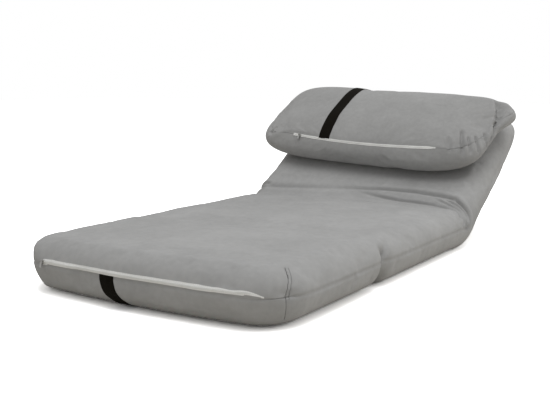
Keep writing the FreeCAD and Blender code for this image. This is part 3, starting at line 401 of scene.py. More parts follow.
# %% Cloth simulation helper
def puff(obj, pin, frames, pressure, slack, stiffness, cap):
    """Runs Cloth on obj from its present shape; pin holds points where it is near 1."""
    group = obj.vertex_groups.new(name="held")
    for level in range(1, 11):
        chosen = np.nonzero((pin > (level - 1) / 10 + 1e-6) & (pin <= level / 10 + 1e-6))[0]
        if len(chosen):
            group.add(chosen.tolist(), level / 10, "REPLACE")
    start = points_of(obj.data)
    cloth = obj.modifiers.new("cloth", "CLOTH")
    setting = cloth.settings
    setting.quality = 5
    setting.mass = 0.3
    setting.tension_stiffness = stiffness
    setting.compression_stiffness = stiffness
    setting.shear_stiffness = stiffness * 0.5
    setting.bending_stiffness = 2.0
    setting.air_damping = 4.0
    setting.use_pressure = True
    setting.uniform_pressure_force = pressure
    setting.shrink_min = -slack
    setting.vertex_group_mass = "held"
    setting.pin_stiffness = 5.0
    setting.effector_weights.gravity = 0.0
    cloth.collision_settings.use_collision = False
    cloth.collision_settings.use_self_collision = False
    cloth.point_cache.frame_start = 1
    cloth.point_cache.frame_end = frames
    for number in range(1, frames + 1):
        scene.frame_set(number)
    graph = bpy.context.evaluated_depsgraph_get()
    done = points_of(obj.evaluated_get(graph).to_mesh())
    obj.modifiers.clear()
    obj.vertex_groups.clear()
    scene.frame_set(1)
    move = done - start
    length = np.linalg.norm(move, axis=1, keepdims=True)
    move *= np.minimum(1.0, cap / np.maximum(length, 1e-9)) * (1.0 - pin[:, None])
    set_points(obj.data, start + move)
    print(obj.name, "moved up to %.1f mm" % (np.linalg.norm(move, axis=1).max() * 1000))


def subdivide(obj):
    """One level of subdivision, kept in the mesh."""
    finer = obj.modifiers.new("finer", "SUBSURF")
    finer.levels = 1
    finer.render_levels = 1
    apply_modifiers(obj)


# %% Puff the cover
# Held: the fold, the middle of the seat, the hinge and the underside.
flat_x, flat_s, flat_z = flat_places.T
near_fold = 1.0 - smoothstep(0.012, 0.050, np.abs(flat_s - FOLD_Y))
near_middle = 1.0 - smoothstep(0.012, 0.060, np.abs(flat_s))
near_hinge = 1.0 - smoothstep(0.060, 0.100, np.abs(flat_s - HINGE_Y))
underside = 1.0 - smoothstep(0.004, 0.020, flat_z)
pin = np.maximum.reduce([near_fold, near_middle, near_hinge, underside])
puff(cover, pin, frames=20, pressure=2.0, slack=0.003, stiffness=12.0, cap=0.0035)
subdivide(cover)
print("cover after subdivision:", len(cover.data.vertices), "points")

# %% [markdown]
# ## Creases, seams and the squeezed roll at the hinge
# Fine folds come after the simulation, as small moves along the surface normals. Each
# crease is a line on the flat cut cloth. Near it the cloth sinks, and on both sides it
# bulges a little, which is how a real fold looks. Where the raised back squeezes the
# cover, two long creases hold a soft roll between them, with short wrinkles at its end.

# %% Crease helpers
def line_field(u, v, line):
    """Distance of points to a line of straight pieces, and how far along it, 0 to 1."""
    knots = np.array(line, float)
    steps = np.diff(knots, axis=0)
    spans = np.hypot(steps[:, 0], steps[:, 1])
    best = np.full(len(u), 1e9)
    along = np.zeros(len(u))
    gone = 0.0
    for knot, step, span in zip(knots[:-1], steps, spans):
        t = np.clip(((u - knot[0]) * step[0] + (v - knot[1]) * step[1]) / span ** 2, 0, 1)
        gap = np.hypot(u - knot[0] - t * step[0], v - knot[1] - t * step[1])
        near = gap < best
        along[near] = (gone + t[near] * span) / spans.sum()
        best = np.minimum(best, gap)
        gone += span
    return best, along


def near_line(places, line):
    """Distance of places to a line in space, and how far along it, 0 to 1."""
    knots = np.array(line, float)
    best = np.full(len(places), 1e9)
    along = np.zeros(len(places))
    for k in range(len(knots) - 1):
        step = knots[k + 1] - knots[k]
        t = np.clip((places - knots[k]) @ step / (step @ step), 0, 1)
        gap = np.linalg.norm(places - knots[k] - t[:, None] * step, axis=1)
        near = gap < best
        along[near] = (k + t[near]) / (len(knots) - 1)
        best = np.minimum(best, gap)
    return best, along


def fold_shape(gap, width):
    """1 at the bottom of a crease, a low swelling on both of its sides."""
    return np.exp(-(gap / width) ** 2) - 0.32 * np.exp(-((gap - 2.4 * width) / (1.3 * width)) ** 2)


def crease(u, v, line, depth, width, fade_in, fade_out):
    """How far a crease pushes each point out, with soft ends."""
    gap, along = line_field(u, v, line)
    ends = smoothstep(0.0, fade_in, along) * (1.0 - smoothstep(1.0 - fade_out, 1.0, along))
    return -depth * fold_shape(gap, width) * ends


# Places on the cut cloth: across the width, then along the length.
MAIN_CREASE = [(-0.36, 0.312), (-0.329, 0.316), (-0.274, 0.309), (-0.188, 0.314),
               (-0.088, 0.321), (-0.012, 0.327), (0.084, 0.331), (0.174, 0.331),
               (0.248, 0.324), (0.291, 0.317), (0.313, 0.301), (0.336, 0.283), (0.361, 0.256),
               (0.378, 0.232)]
SECOND_CREASE = [(-0.005, 0.316), (0.047, 0.301), (0.096, 0.292), (0.144, 0.284),
                 (0.197, 0.281), (0.241, 0.276), (0.274, 0.262), (0.310, 0.236),
                 (0.336, 0.222), (0.362, 0.222)]
SHORT_WRINKLES = [[(0.232, 0.309), (0.271, 0.291), (0.305, 0.264), (0.335, 0.235), (0.366, 0.205)],
                  [(0.253, 0.311), (0.286, 0.299), (0.318, 0.274), (0.345, 0.246), (0.374, 0.214)],
                  [(0.266, 0.318), (0.300, 0.306), (0.328, 0.284), (0.352, 0.258), (0.380, 0.222)],
                  [(0.290, 0.262), (0.318, 0.236), (0.345, 0.200)],
                  [(-0.30, 0.300), (-0.33, 0.290), (-0.352, 0.270)],
                  [(-0.29, 0.322), (-0.325, 0.330), (-0.352, 0.322)]]
ROLL_LINE = [(0.02, 0.317), (0.15, 0.308), (0.26, 0.298), (0.32, 0.262), (0.35, 0.240)]
print("hinge creases:", 2 + len(SHORT_WRINKLES))

# %% Hinge creases
cut_u, cut_v, cut_rim = marks_of(cover, "cut")
flat_x, flat_s, flat_z = marks_of(cover, "flat")
is_top = smoothstep(SEAM_Z - 0.004, SEAM_Z + 0.004, flat_z)
soft_left = 1 - smoothstep(-0.10, 0.10, cut_u)
push = crease(cut_u, cut_v, MAIN_CREASE, depth=0.0095, width=0.0052,
              fade_in=0.02, fade_out=0.02) * (1 - soft_left)
push += crease(cut_u, cut_v, MAIN_CREASE, depth=0.0058, width=0.0095,
               fade_in=0.02, fade_out=0.02) * soft_left
push += crease(cut_u, cut_v, SECOND_CREASE, depth=0.0058, width=0.0046, fade_in=0.30, fade_out=0.05)
for wrinkle in SHORT_WRINKLES:
    push += crease(cut_u, cut_v, wrinkle, depth=0.0050, width=0.0034, fade_in=0.22, fade_out=0.08)

# The squeezed cloth swells into a roll between the two long creases.
ROLL_HEIGHT = 0.0045
ROLL_WIDTH = 0.011
roll_gap, roll_way = line_field(cut_u, cut_v, ROLL_LINE)
push += ROLL_HEIGHT * np.exp(-(roll_gap / ROLL_WIDTH) ** 2) * smoothstep(0, 0.3, roll_way)
push *= is_top
print("hinge creases sink up to %.1f mm" % (-push.min() * 1000))

# %% [markdown]
# ## Darts at the corners and the side seam
# A flat cloth only goes round a foam corner when some of it is taken up in a dart, a short
# sewn pleat. A dart could be cut into the mesh, but a dent along a line is enough: narrow
# and deep where the thread pulls, with a wide soft hollow round it. The nearest dart shows
# best, so it follows its own line in space; the others come from one function. The side
# seam sinks a little where the two sheets meet.

# %% Corner darts and side seam
def corner_dart(sx, sy, angle, depth):
    """A short sewn dart down a plan corner, with a soft dent and small puckers round it."""
    cx = sx * (HALF_W - PLAN_R)
    cy = FRONT_Y + PLAN_R if sy < 0 else HEAD_Y - PLAN_R
    dx = sx * math.cos(angle)
    dy = sy * math.sin(angle)
    out = (flat_x - cx) * dx + (flat_s - cy) * dy
    gap = np.abs((flat_x - cx) * -dy + (flat_s - cy) * dx)
    here = smoothstep(0.046, 0.056, out)
    upper = smoothstep(SEAM_Z - 0.002, SEAM_Z + 0.004, flat_z)
    line = (0.45 + 0.55 * upper) * np.exp(-(gap / 0.0032) ** 2)
    dent = 0.45 * np.exp(-(gap / 0.016) ** 2) * smoothstep(0.055, 0.085, out)
    pucker = 0.16 * np.sin(flat_z * 700.0) * np.exp(-gap / 0.016) * (1 - np.exp(-(gap / 0.004) ** 2))
    return -depth * here * (line + dent * upper + pucker * upper)


push += corner_dart(-1, -1, math.radians(37), 0.0040)
for sx in (-1, 1):
    push += corner_dart(sx, 1, math.radians(45), 0.0030)

# The near dart leans forward on its way down, with a twin line and a dent at its foot.
DART_WIDTH = 0.0026
TWIN_SHIFT = 0.0052
flat_all = np.column_stack([flat_x, flat_s, flat_z])
NEAR_DART = [(0.3015, -0.5915, 0.1070), (0.3120, -0.6010, 0.1030), (0.3198, -0.6084, 0.0950),
             (0.3268, -0.6204, 0.0800), (0.3290, -0.6289, 0.0600), (0.3262, -0.6264, 0.0400),
             (0.3195, -0.6197, 0.0170)]
for shift, depth in ((0.0, 0.0030), (TWIN_SHIFT, 0.0016)):
    gap, way = near_line(flat_all, np.array(NEAR_DART) + (shift, shift * 0.8, 0.0))
    above = smoothstep(SEAM_Z - 0.004, SEAM_Z + 0.004, flat_z)
    push -= depth * np.exp(-(gap / DART_WIDTH) ** 2) * smoothstep(0.0, 0.04, way) * (0.45 + 0.55 * above)
gap = near_line(flat_all, [(0.318, -0.632, 0.066), (0.334, -0.618, 0.063)])[0]
push -= 0.0034 * np.exp(-(gap / 0.011) ** 2)
gap, way = near_line(flat_all, NEAR_DART)
push -= 0.0020 * np.exp(-(gap / 0.018) ** 2) * smoothstep(0.1, 0.5, way) * (1 - smoothstep(0.60, 0.70, way))

# The seam itself sinks, and the cloth beside it stands a little proud.
SEAM_DEPTH = 0.0020
SEAM_LIP = 0.0006
seam = np.clip(cut_rim, 0, 1) ** 1.5
push -= SEAM_DEPTH * seam
push += SEAM_LIP * (1 - seam) * np.exp(-np.abs(flat_z - SEAM_Z) / 0.006)
places = points_of(cover.data) + normals_of(cover.data) * push[:, None]
print("darts and seam sink up to %.1f mm" % (-push.min() * 1000))

# %% Pulled-in corner and front seam
FLOOR_GAP = 0.0002
CORNER_PULL = 0.0175
PULL_WAY = (0.84, 0.54)

# The far front corner is pulled in at its waist.
corner_x = flat_x + HALF_W - PLAN_R
corner_y = flat_s - FRONT_Y - PLAN_R
facing = np.clip(np.cos(np.arctan2(corner_y, corner_x) - math.radians(213)), 0, 1) ** 3
in_corner = (flat_x < -HALF_W + PLAN_R) & (flat_s < FRONT_Y + PLAN_R + 0.05)
waist = smoothstep(SIDE_H + 0.002, 0.058, flat_z) + 0.25 * smoothstep(0.055, 0.010, flat_z)
far_out = smoothstep(0.02, PLAN_R, np.hypot(corner_y, corner_x))
pull = CORNER_PULL * facing * in_corner * waist * far_out
places[:, 0] += pull * PULL_WAY[0]
places[:, 1] += pull * PULL_WAY[1]

# The front seam runs just under the zip, and nothing dips below the floor.
SEAM_RISE = 0.0042
at_front = 1 - smoothstep(FRONT_Y + 0.01, FRONT_Y + 0.06, flat_s)
mid_front = 1 - smoothstep(0.22, 0.30, np.abs(flat_x))
places[:, 2] += SEAM_RISE * at_front * mid_front * np.exp(-((flat_z - SEAM_Z) / 0.016) ** 2)
places[:, 2] = np.maximum(places[:, 2], FLOOR_GAP)
set_points(cover.data, places)
print("far front corner pulled in by %.1f mm" % (pull.max() * 1000))

# %% [markdown]
# ## Two sections that part at the fold
# The foot section flips up onto the seat, so the cover is cut at the fold. A cut with a
# plane keeps every crease that runs across it in line. Each end gets its own closing
# wall, made by extruding the cut edge inward ring by ring, because one large flat face
# would shade badly at its rim. The seat end is rounded more than the foot end, which
# leaves the dark wedge seen from the side.

# %% Cut and close at the fold
def part_of(obj, name, front):
    """One side of the fold plane as an object of its own."""
    bm = bmesh.new()
    bm.from_mesh(obj.data)
    bmesh.ops.bisect_plane(bm, geom=bm.verts[:] + bm.edges[:] + bm.faces[:], dist=1e-6,
                           plane_co=(0, FOLD_Y, 0), plane_no=(0, 1, 0),
                           clear_outer=front, clear_inner=not front)
    return object_from(bm, name)


def round_end(obj, way, side_in, bottom_up, reach, wedge):
    """Rounds the sides and the underside off toward the fold."""
    x, along, z = marks_of(obj, "flat")
    near = (1 - smoothstep(0.0, reach, way * (along - FOLD_Y))) ** 1.6
    outer = smoothstep(HALF_W - 0.060, HALF_W - 0.010, np.abs(x))
    lower = 1 - smoothstep(0.074, 0.103, z)
    under = 1 - smoothstep(0.0, 0.055, z)
    places = points_of(obj.data)
    gap, line_way = line_field(z, along, FOLD_LEAN)
    dent = -wedge * fold_shape(gap, FOLD_LEAN_WIDTH) * smoothstep(0.0, 0.35, line_way)
    dent *= smoothstep(HALF_W - 0.045, HALF_W - 0.020, np.abs(x))
    places += normals_of(obj.data) * dent[:, None]
    places[:, 0] -= np.sign(x) * outer * lower * side_in * near
    places[:, 2] += under * bottom_up * near
    set_points(obj.data, places)


def wall_map(faces, uv):
    """Gives the end wall its own place on the UV map."""
    for face in faces:
        for loop in face.loops:
            loop[uv].uv = (loop.vert.co.x + WALL_UV_SHIFT, loop.vert.co.z)


def close_end(obj, way):
    """Closes the cut edge with a soft wall of inward rings."""
    bm = bmesh.new()
    bm.from_mesh(obj.data)
    uv = bm.loops.layers.uv["cloth"]
    rim = [e for e in bm.edges if e.is_boundary]
    assert all(abs(v.co.y - FOLD_Y) < 0.001 for e in rim for v in e.verts), "a seam is open"
    ends = {v for e in rim for v in e.verts}
    wide = max(abs(v.co.x) for v in ends)
    high = max(v.co.z for v in ends)
    mid = (high + min(v.co.z for v in ends)) / 2
    tall = high - mid
    before = 0.0
    for inset, sink in END_RINGS:
        made = bmesh.ops.extrude_edge_only(bm, edges=rim)["geom"]
        fresh = {g for g in made if isinstance(g, bmesh.types.BMVert)}
        walls = [g for g in made if isinstance(g, bmesh.types.BMFace)]
        rim = [g for g in made if isinstance(g, bmesh.types.BMEdge) and set(g.verts) <= fresh]
        for v in fresh:
            v.co.x *= (wide - inset) / (wide - before)
            v.co.z = mid + (v.co.z - mid) * (tall - inset) / (tall - before)
            v.co.y = FOLD_Y + way * sink
        before = inset
        wall_map(walls, uv)
    last = bmesh.ops.edgeloop_fill(bm, edges=rim)["faces"]
    last = bmesh.ops.triangulate(bm, faces=last)["faces"]
    wall_map(last, uv)
    bmesh.ops.recalc_face_normals(bm, faces=bm.faces)
    bm.to_mesh(obj.data)
    bm.free()
    obj.data.polygons.foreach_set("use_smooth", [True] * len(obj.data.polygons))
    print(obj.name, "closed,", len(obj.data.polygons), "faces")


# %% Part the cover
# Rings of the end wall: how far in from the rim, and how far sunk from the fold plane.
END_RINGS = [(0.0012, 0.0003), (0.003, 0.0005), (0.007, 0.0006), (0.014, 0.0007),
             (0.024, 0.0007), (0.036, 0.0007)]
WALL_UV_SHIFT = 8.0
# The small crease that leans from the top of the seat down to the fold: height, length.
FOLD_LEAN = [(0.107, -0.206), (0.101, -0.222), (0.086, -0.240), (0.064, -0.262), (0.043, -0.270)]
FOLD_LEAN_WIDTH = 0.0050

foot_part = part_of(cover, "foot_cushion", True)
seat_part = part_of(cover, "seat_back_cushion", False)
whole_tree = tree_of(cover)
bpy.data.objects.remove(cover)
round_end(foot_part, -1, side_in=0.0080, bottom_up=0.0120, reach=0.026, wedge=0.0)
round_end(seat_part, 1, side_in=0.0150, bottom_up=0.0230, reach=0.050, wedge=0.0060)
close_end(foot_part, -1)
close_end(seat_part, 1)

# %% [markdown]
# ## Strips that lie on cloth
# A narrow cloth strip is sewn flat over the fold and makes the hinge between the foot
# section and the seat. Zip tapes and webbing bands are strips too. A Shrinkwrap modifier
# could lay them. The helper does the same for every point across the width, but starts
# from a line of places, so that the UV map runs along the strip and the ribs of the weave
# can follow it. A Solidify modifier gives the thickness.

# %% Strip helpers
def run_along(line):
    """The length from the start of a line to each of its places."""
    return np.concatenate([[0], np.cumsum(np.linalg.norm(np.diff(line, axis=0), axis=1))])


def laid_strip(name, tree, line, across, widths, lift, thick, cols):
    """A strip along a line of places; across gives its width direction at each place."""
    line = np.array(line)
    across = np.broadcast_to(np.array(across, float), line.shape)
    rows = len(line)
    run = run_along(line)
    bm = bmesh.new()
    bmesh.ops.create_grid(bm, x_segments=cols, y_segments=rows - 1, size=1.0)
    uv = bm.loops.layers.uv.new("cloth")
    spot = {}
    for v in bm.verts:
        j = round((v.co.y + 1.0) / 2.0 * (rows - 1))
        aside = v.co.x * widths[j] / 2
        guess = Vector(line[j] + across[j] * aside)
        place, normal = tree.find_nearest(guess)[:2]
        v.co = place + normal * lift
        spot[v] = (run[j], aside, normal)
    for face in bm.faces:
        for loop in face.loops:
            loop[uv].uv = spot[loop.vert][:2]
    bm.normal_update()
    outward = sum(v.normal.dot(spot[v][2]) for v in bm.verts)
    if outward < 0:
        bmesh.ops.reverse_faces(bm, faces=bm.faces)
    obj = object_from(bm, name)
    wall = obj.modifiers.new("thickness", "SOLIDIFY")
    wall.thickness = thick
    wall.offset = 1.0
    soft = obj.modifiers.new("soft_edge", "BEVEL")
    soft.width = thick * 0.3
    soft.segments = 2
    soft.limit_method = "ANGLE"
    soft.harden_normals = False
    print(name, "length %.3f m" % run[-1])
    return obj


def smooth_line(knots, count):
    """A smooth curve of count places through the given ones, by cubic pieces."""
    knots = np.array(knots, float)
    spans = np.linalg.norm(np.diff(knots, axis=0), axis=1) ** 0.5
    at = np.concatenate([[0], np.cumsum(spans)])
    slope = np.gradient(knots, at, axis=0)
    out = []
    for t in np.linspace(0, at[-1], count):
        k = min(np.searchsorted(at, t, side="right") - 1, len(at) - 2)
        h = at[k + 1] - at[k]
        f = (t - at[k]) / h
        out.append((2 * f ** 3 - 3 * f ** 2 + 1) * knots[k]
                   + (f ** 3 - 2 * f ** 2 + f) * h * slope[k]
                   + (-2 * f ** 3 + 3 * f ** 2) * knots[k + 1]
                   + (f ** 3 - f ** 2) * h * slope[k + 1])
    return np.array(out)


# %% Strip over the fold
FOLD_STRIP_HALF = 0.316
FOLD_STRIP_WIDE = 0.008

# It stops a little way down the top edge, so that nothing sticks out when it is folded.
over = np.linspace(-FOLD_STRIP_HALF, FOLD_STRIP_HALF, 140)
drop_in = np.maximum(np.abs(over) - (HALF_W - TOP_R), 0) / TOP_R
over_z = SIDE_H + CROWN * (1 - (over / HALF_W) ** 2) - (SIDE_H - SEAM_Z) * (1 - np.sqrt(1 - drop_in ** 2))
fold_line = np.column_stack([over, np.full(len(over), FOLD_Y), over_z])
fold_strip = laid_strip("fold_strip", whole_tree, fold_line, (0, 1, 0),
                        np.full(len(over), FOLD_STRIP_WIDE), lift=-0.0007, thick=0.0008, cols=8)

# %% [markdown]
# ## The front zip
# A white zip runs along the front of the foot section: a woven tape with a sewn coil on
# it. The tape is a laid strip that narrows to both ends, where it disappears into the
# seam. The coil is a real spiral thread, a few dozen centimetres of it, because a bump
# pattern would look flat where the light grazes it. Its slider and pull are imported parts
# and run on a joint, so the coil stays in the arc that they follow.

# %% Thread and coil helpers
def tube(name, places, radius, rings=2):
    """A round thread along a line of places, as a closed mesh."""
    data = bpy.data.curves.new(name, "CURVE")
    data.dimensions = "3D"
    data.bevel_depth = radius
    data.bevel_resolution = rings
    data.use_fill_caps = True
    spline = data.splines.new("POLY")
    spline.points.add(len(places) - 1)
    spline.points.foreach_set("co", np.column_stack([places, np.ones(len(places))]).ravel())
    holder = bpy.data.objects.new(name, data)
    scene.collection.objects.link(holder)
    graph = bpy.context.evaluated_depsgraph_get()
    mesh = bpy.data.meshes.new_from_object(holder.evaluated_get(graph))
    bpy.data.objects.remove(holder)
    obj = bpy.data.objects.new(name, mesh)
    scene.collection.objects.link(obj)
    mesh.polygons.foreach_set("use_smooth", [True] * len(mesh.polygons))
    return obj


def zip_coil(name, tree, line, across, pitch, half, rise, lift):
    """The sewn coil of a zip: a flattened spiral thread that runs along the tape."""
    line = np.array(line)
    run = run_along(line)
    turns = int(run[-1] / pitch)
    steps = np.linspace(0, run[-1], turns * 8 + 1)
    places = []
    for at, angle in zip(steps, np.arange(len(steps)) * math.pi / 4):
        mid = Vector([np.interp(at, run, line[:, k]) for k in range(3)])
        place, normal = tree.find_nearest(mid)[:2]
        side = Vector(across)
        side = (side - normal * side.dot(normal)).normalized()
        places.append(place + side * half * math.cos(angle)
                      + normal * (lift + rise * math.sin(angle)))
    print(name, "with %d turns" % turns)
    return tube(name, np.array([tuple(q) for q in places]), COIL_THREAD, 1)


# %% Zip tape and coil of the foot section
LAID_ON = 0.0001  # how far a laid strip stands off the cloth
TAPE_THICK = 0.0009
COIL_THREAD = 0.00042
ZIP_Z = 0.0730
FOOT_TAPE_WIDE = 0.0135


def front_edge(x):
    """The bowed front line of the foot section."""
    return FRONT_Y - FRONT_BOW * (1 - (x / HALF_W) ** 2)


foot_tree = tree_of(foot_part)
foot_knots = [(-0.2345, -0.672, 0.0640), (-0.2305, -0.678, 0.0668), (-0.2240, -0.683, 0.0705),
              (-0.2140, -0.686, ZIP_Z)]
foot_knots += [(x, front_edge(x), ZIP_Z) for x in np.linspace(-0.19, 0.25, 12)]
foot_knots += [(0.272, -0.671, 0.0712), (0.288, -0.667, 0.0690), (0.300, -0.662, 0.0655)]
foot_zip_line = smooth_line(foot_knots, 180)
share = np.linspace(0, 1, len(foot_zip_line))
ripple = 1 + 0.012 * np.sin(share * 61) + 0.010 * np.sin(share * 113 + 1)
left_end = np.clip(share / 0.045, 0.22, 1)
right_end = np.clip((1 - share) / 0.26, 0.06, 1) ** 0.6
foot_tape = laid_strip("foot_zip_tape_cloth", foot_tree, foot_zip_line, (0, 0, 1),
                       FOOT_TAPE_WIDE * ripple * left_end * right_end, LAID_ON, TAPE_THICK, cols=8)
foot_coil = zip_coil("foot_zip_coil", foot_tree, foot_zip_line[5:168], (0, 0, 1),
                     pitch=0.0016, half=0.0022, rise=0.0007, lift=0.0015)

# %% [markdown]
# ## Thread and painted shade in the near dart
# The pleat at the near corner is held by a thread. It is thin, but it draws the eye, so it
# is a round thread pressed halfway into the cloth and not just a dark line. Its dark colour
# is painted shade: it stands in for the shade in the narrow fold of the dart.

# %% Stitches and painted shade of the near dart
def stitch_line(name, tree, knots, lift, radius):
    """A sewn thread: a thin round line pressed into the cloth along some places."""
    places = []
    for mid in smooth_line(knots, 60):
        place, normal = tree.find_nearest(Vector(mid))[:2]
        places.append(tuple(place + normal * lift))
    return tube(name, np.array(places), radius, 2)


THREAD_SINK = -0.0001
dart_knots = np.array(NEAR_DART) - (0.0, 0.0036, 0.0)
twin_knots = dart_knots[:5] + (TWIN_SHIFT, 0.0042, 0.0)
# The dark colour of these threads is painted shade for the fold of the dart.
dart_stitch_shade_threads = [stitch_line("dart_stitch_shade_near", foot_tree, dart_knots, THREAD_SINK, 0.0005),
                stitch_line("dart_stitch_shade_twin", foot_tree, twin_knots, THREAD_SINK, 0.0004)]
print("stitches:", [t.name for t in dart_stitch_shade_threads])

# %% [markdown]
# ## The band under the front zip
# A black webbing band comes out from under the zip, goes down the front and on under the
# foot section. It leans to one side on its way down. The line follows the round lower
# edge by the same quarter ellipse as the cover, and the helper lays it on the cloth.

# %% Carrying band of the foot section
BAND_WIDE = 0.0365
BAND_THICK = 0.0012
BAND_TOP_Z = 0.0670
low_front = []
for z in (BAND_TOP_Z, 0.058, 0.046, 0.034, 0.024, 0.015, 0.008, 0.0035):
    back = LOW_R * (1 - math.sqrt(max(0.0, 1 - ((SEAM_Z - min(z, SEAM_Z)) / SEAM_Z) ** 2)))
    x = -0.0455 + 0.022 * ((BAND_TOP_Z - z) / 0.06) ** 1.4
    low_front.append((x, front_edge(x) + back, z))
low_front += [(-0.020, y, FOOT_LIFT) for y in (-0.64, -0.60, -0.55, -0.50, -0.45)]
foot_band_line = smooth_line(low_front, 90)
foot_band_new = laid_strip("foot_band_webbing", foot_tree, foot_band_line, (1, 0, 0),
                           np.full(len(foot_band_line), BAND_WIDE), LAID_ON, BAND_THICK, cols=10)

# %% [markdown]
# ## The pillow
# The loose pillow is a pillow case too: a top panel and a bottom panel whose seam runs
# high along the front, where the zip sits, and low behind. A stretched sphere would come
# to a point at both ends, so a superellipse, a squared-off oval, gives the plan and
# another one the section. The underside is flattened where it lies on the back. The
# pillow is made in coordinates of its own: along it, up the back and off the back.

# %% Pillow frame and sizes
PILLOW_AT = Vector((-0.017, 0.4504, 0.2980))
PILLOW_TURN = math.radians(-4.8)  # how far it is turned on the back
UP_BACK = Vector((0.0, math.cos(REST), math.sin(REST)))
OFF_BACK = Vector((0.0, -math.sin(REST), math.cos(REST)))
pillow_x = math.cos(PILLOW_TURN) * Vector((1, 0, 0)) + math.sin(PILLOW_TURN) * UP_BACK
pillow_y = -math.sin(PILLOW_TURN) * Vector((1, 0, 0)) + math.cos(PILLOW_TURN) * UP_BACK
PILLOW_AXES = np.array([pillow_x, pillow_y, OFF_BACK])

PILLOW_L = 0.358  # half its length
PILLOW_D = 0.156  # half its depth
PILLOW_UP = 0.0705  # height above its middle plane
PILLOW_DOWN = 0.062  # depth below it
REST_LEVEL = -0.0485  # where it lies on the back
PLAN_POWER = 4.2
REAR_POWER = 2.2  # added at the rear corners, which are squarer
SECTION_POWER = 2.2
LEFT_FULL = 0.030  # how much fuller the left end is
ZIP_ARC = 2.005  # radius of the arc that the pillow slider follows
ZIP_ARC_MID = 1.8723
ZIP_LEVEL = 0.040
ZIP_REACH = 0.032  # how far from the zip its pull on the cloth can be seen
PANEL_HALF = 0.19  # cloth from the middle of a panel to the front seam
pillow_nx = 116
pillow_ny = 66


def to_row(own):
    """Pillow coordinates to the row frame."""
    return own @ PILLOW_AXES + np.array(PILLOW_AT)


def to_own(places):
    """The row frame to pillow coordinates."""
    return (places - np.array(PILLOW_AT)) @ PILLOW_AXES.T


def turned(own):
    """A direction or a move in pillow coordinates, turned into the row frame."""
    return to_row(np.array(own)) - to_row(np.zeros(3))


print("pillow %.3f x %.3f x %.3f m" % (2 * PILLOW_L, 2 * PILLOW_D, PILLOW_UP - REST_LEVEL))


# %% Pillow panels
def seam_angle(sin_t):
    """How far down the section the seam lies, from the top, for a direction in plan."""
    front = smoothstep(0.0, 1.0, -sin_t)
    back = smoothstep(0.0, 1.0, sin_t)
    return math.radians(74.0) - front * math.radians(15.0) + back * math.radians(18.0)


def zip_front(x):
    """Where the pillow zip runs: an arc, as far forward as the slider goes."""
    return ZIP_ARC_MID - np.sqrt(ZIP_ARC ** 2 - x ** 2)


def section_place(plan, ct, st, psi):
    """A place on the pillow: ct and st point outward in plan, psi turns down from the top."""
    s = np.sin(psi) ** (2.0 / SECTION_POWER)
    c = np.cos(psi)
    lift = np.sign(c) * np.abs(c) ** (2.0 / SECTION_POWER)
    z = np.where(lift > 0, PILLOW_UP, PILLOW_DOWN) * lift
    return PILLOW_L * plan * ct * s, PILLOW_D * plan * st * s, z


def pillow_sheet(side):
    """Places and cloth coordinates of one panel: a square grid drawn out into the plan."""
    u = np.linspace(-1, 1, pillow_nx + 1)
    v = np.linspace(-1, 1, pillow_ny + 1)
    a, b = np.meshgrid(u, v)
    px = a * np.sqrt(1.0 - b * b / 2.0)
    py = b * np.sqrt(1.0 - a * a / 2.0)
    m = np.sqrt(px * px + py * py)
    ct = np.where(m > 1e-9, px / np.maximum(m, 1e-9), 1.0)
    st = py / np.maximum(m, 1e-9)
    power = PLAN_POWER + REAR_POWER * smoothstep(0.1, 0.6, np.abs(ct)) * smoothstep(-0.2, 0.4, st)
    plan = (np.abs(ct) ** power + np.abs(st) ** power) ** (-1.0 / power)
    plan = plan * (1 + LEFT_FULL * smoothstep(0.2, 0.9, -ct))
    seam = seam_angle(st)
    psi = m * seam if side > 0 else math.pi - m * (math.pi - seam)
    x, y, z = section_place(plan, ct, st, psi)
    # Along the front the seam is drawn onto the arc of the zip, and the cloth near it follows.
    rim_x, rim_y, rim_z = section_place(plan, ct, st, seam)
    zone = (1 - smoothstep(0.25, 0.31, np.abs(rim_x))) * (rim_y < 0)
    zone = zone * np.exp(-((1 - m) * PANEL_HALF / ZIP_REACH) ** 2)
    y = y + zone * (zip_front(rim_x) - rim_y)
    z = z + zone * (ZIP_LEVEL - rim_z)
    # The underside is pressed nearly flat. Cloth that runs over a swelling is cut longer.
    z = np.maximum(z, REST_LEVEL + 0.15 * (z - REST_LEVEL))
    return x, y, z, a * PILLOW_L * 1.1, b * PILLOW_D * 1.3


def pillow_panel(side):
    """One panel of the pillow; each has its own place on the UV map."""
    x, y, z, cloth_u, cloth_v = pillow_sheet(side)
    return cloth_panel((x, y, z), (cloth_u, cloth_v), 4.0 if side > 0 else 6.0, side < 0)


pillow = sewn_case(pillow_panel(1), pillow_panel(-1), "pillow_case")
set_points(pillow.data, to_row(points_of(pillow.data)))
print("pillow points:", len(pillow.data.vertices))

# %% [markdown]
# ## Stuffing the pillow
# Loose filling lets a case move more than foam does, so the pillow goes through the same
# Cloth simulation with a little more slack and softer cloth. The zip and the flat place
# under the pillow are held, and the seam almost.

# %% Stuff the pillow
own_x, own_y, own_z = marks_of(pillow, "flat")
rim = marks_of(pillow, "cut")[2]
front_zone = (own_y < -0.09) & (np.abs(own_x) < 0.29)
zip_gap = np.hypot(own_y - zip_front(np.clip(own_x, -1, 1)), own_z - ZIP_LEVEL)
near_zip = front_zone * np.exp(-(zip_gap / 0.012) ** 2)
resting = 1 - smoothstep(REST_LEVEL - 0.001, REST_LEVEL + 0.012, own_z)
pin = np.clip(np.maximum.reduce([near_zip, resting, rim * 0.85]), 0, 1)
puff(pillow, pin, frames=20, pressure=2.0, slack=0.004, stiffness=10.0, cap=0.0040)
subdivide(pillow)
print("pillow after subdivision:", len(pillow.data.vertices), "points")

# %% [markdown]
# ## Gathers, the pulled-out corner and the seam
# The zip seam gathers the cloth at its right end, and the far right corner of the pillow
# sticks out as an ear with a deep crease in front of it. Sculpting them would be one way.
# Here they are short lines in the pillow's own coordinates, laid on the case before they
# are measured: the cloth sinks along them and swells beside them.

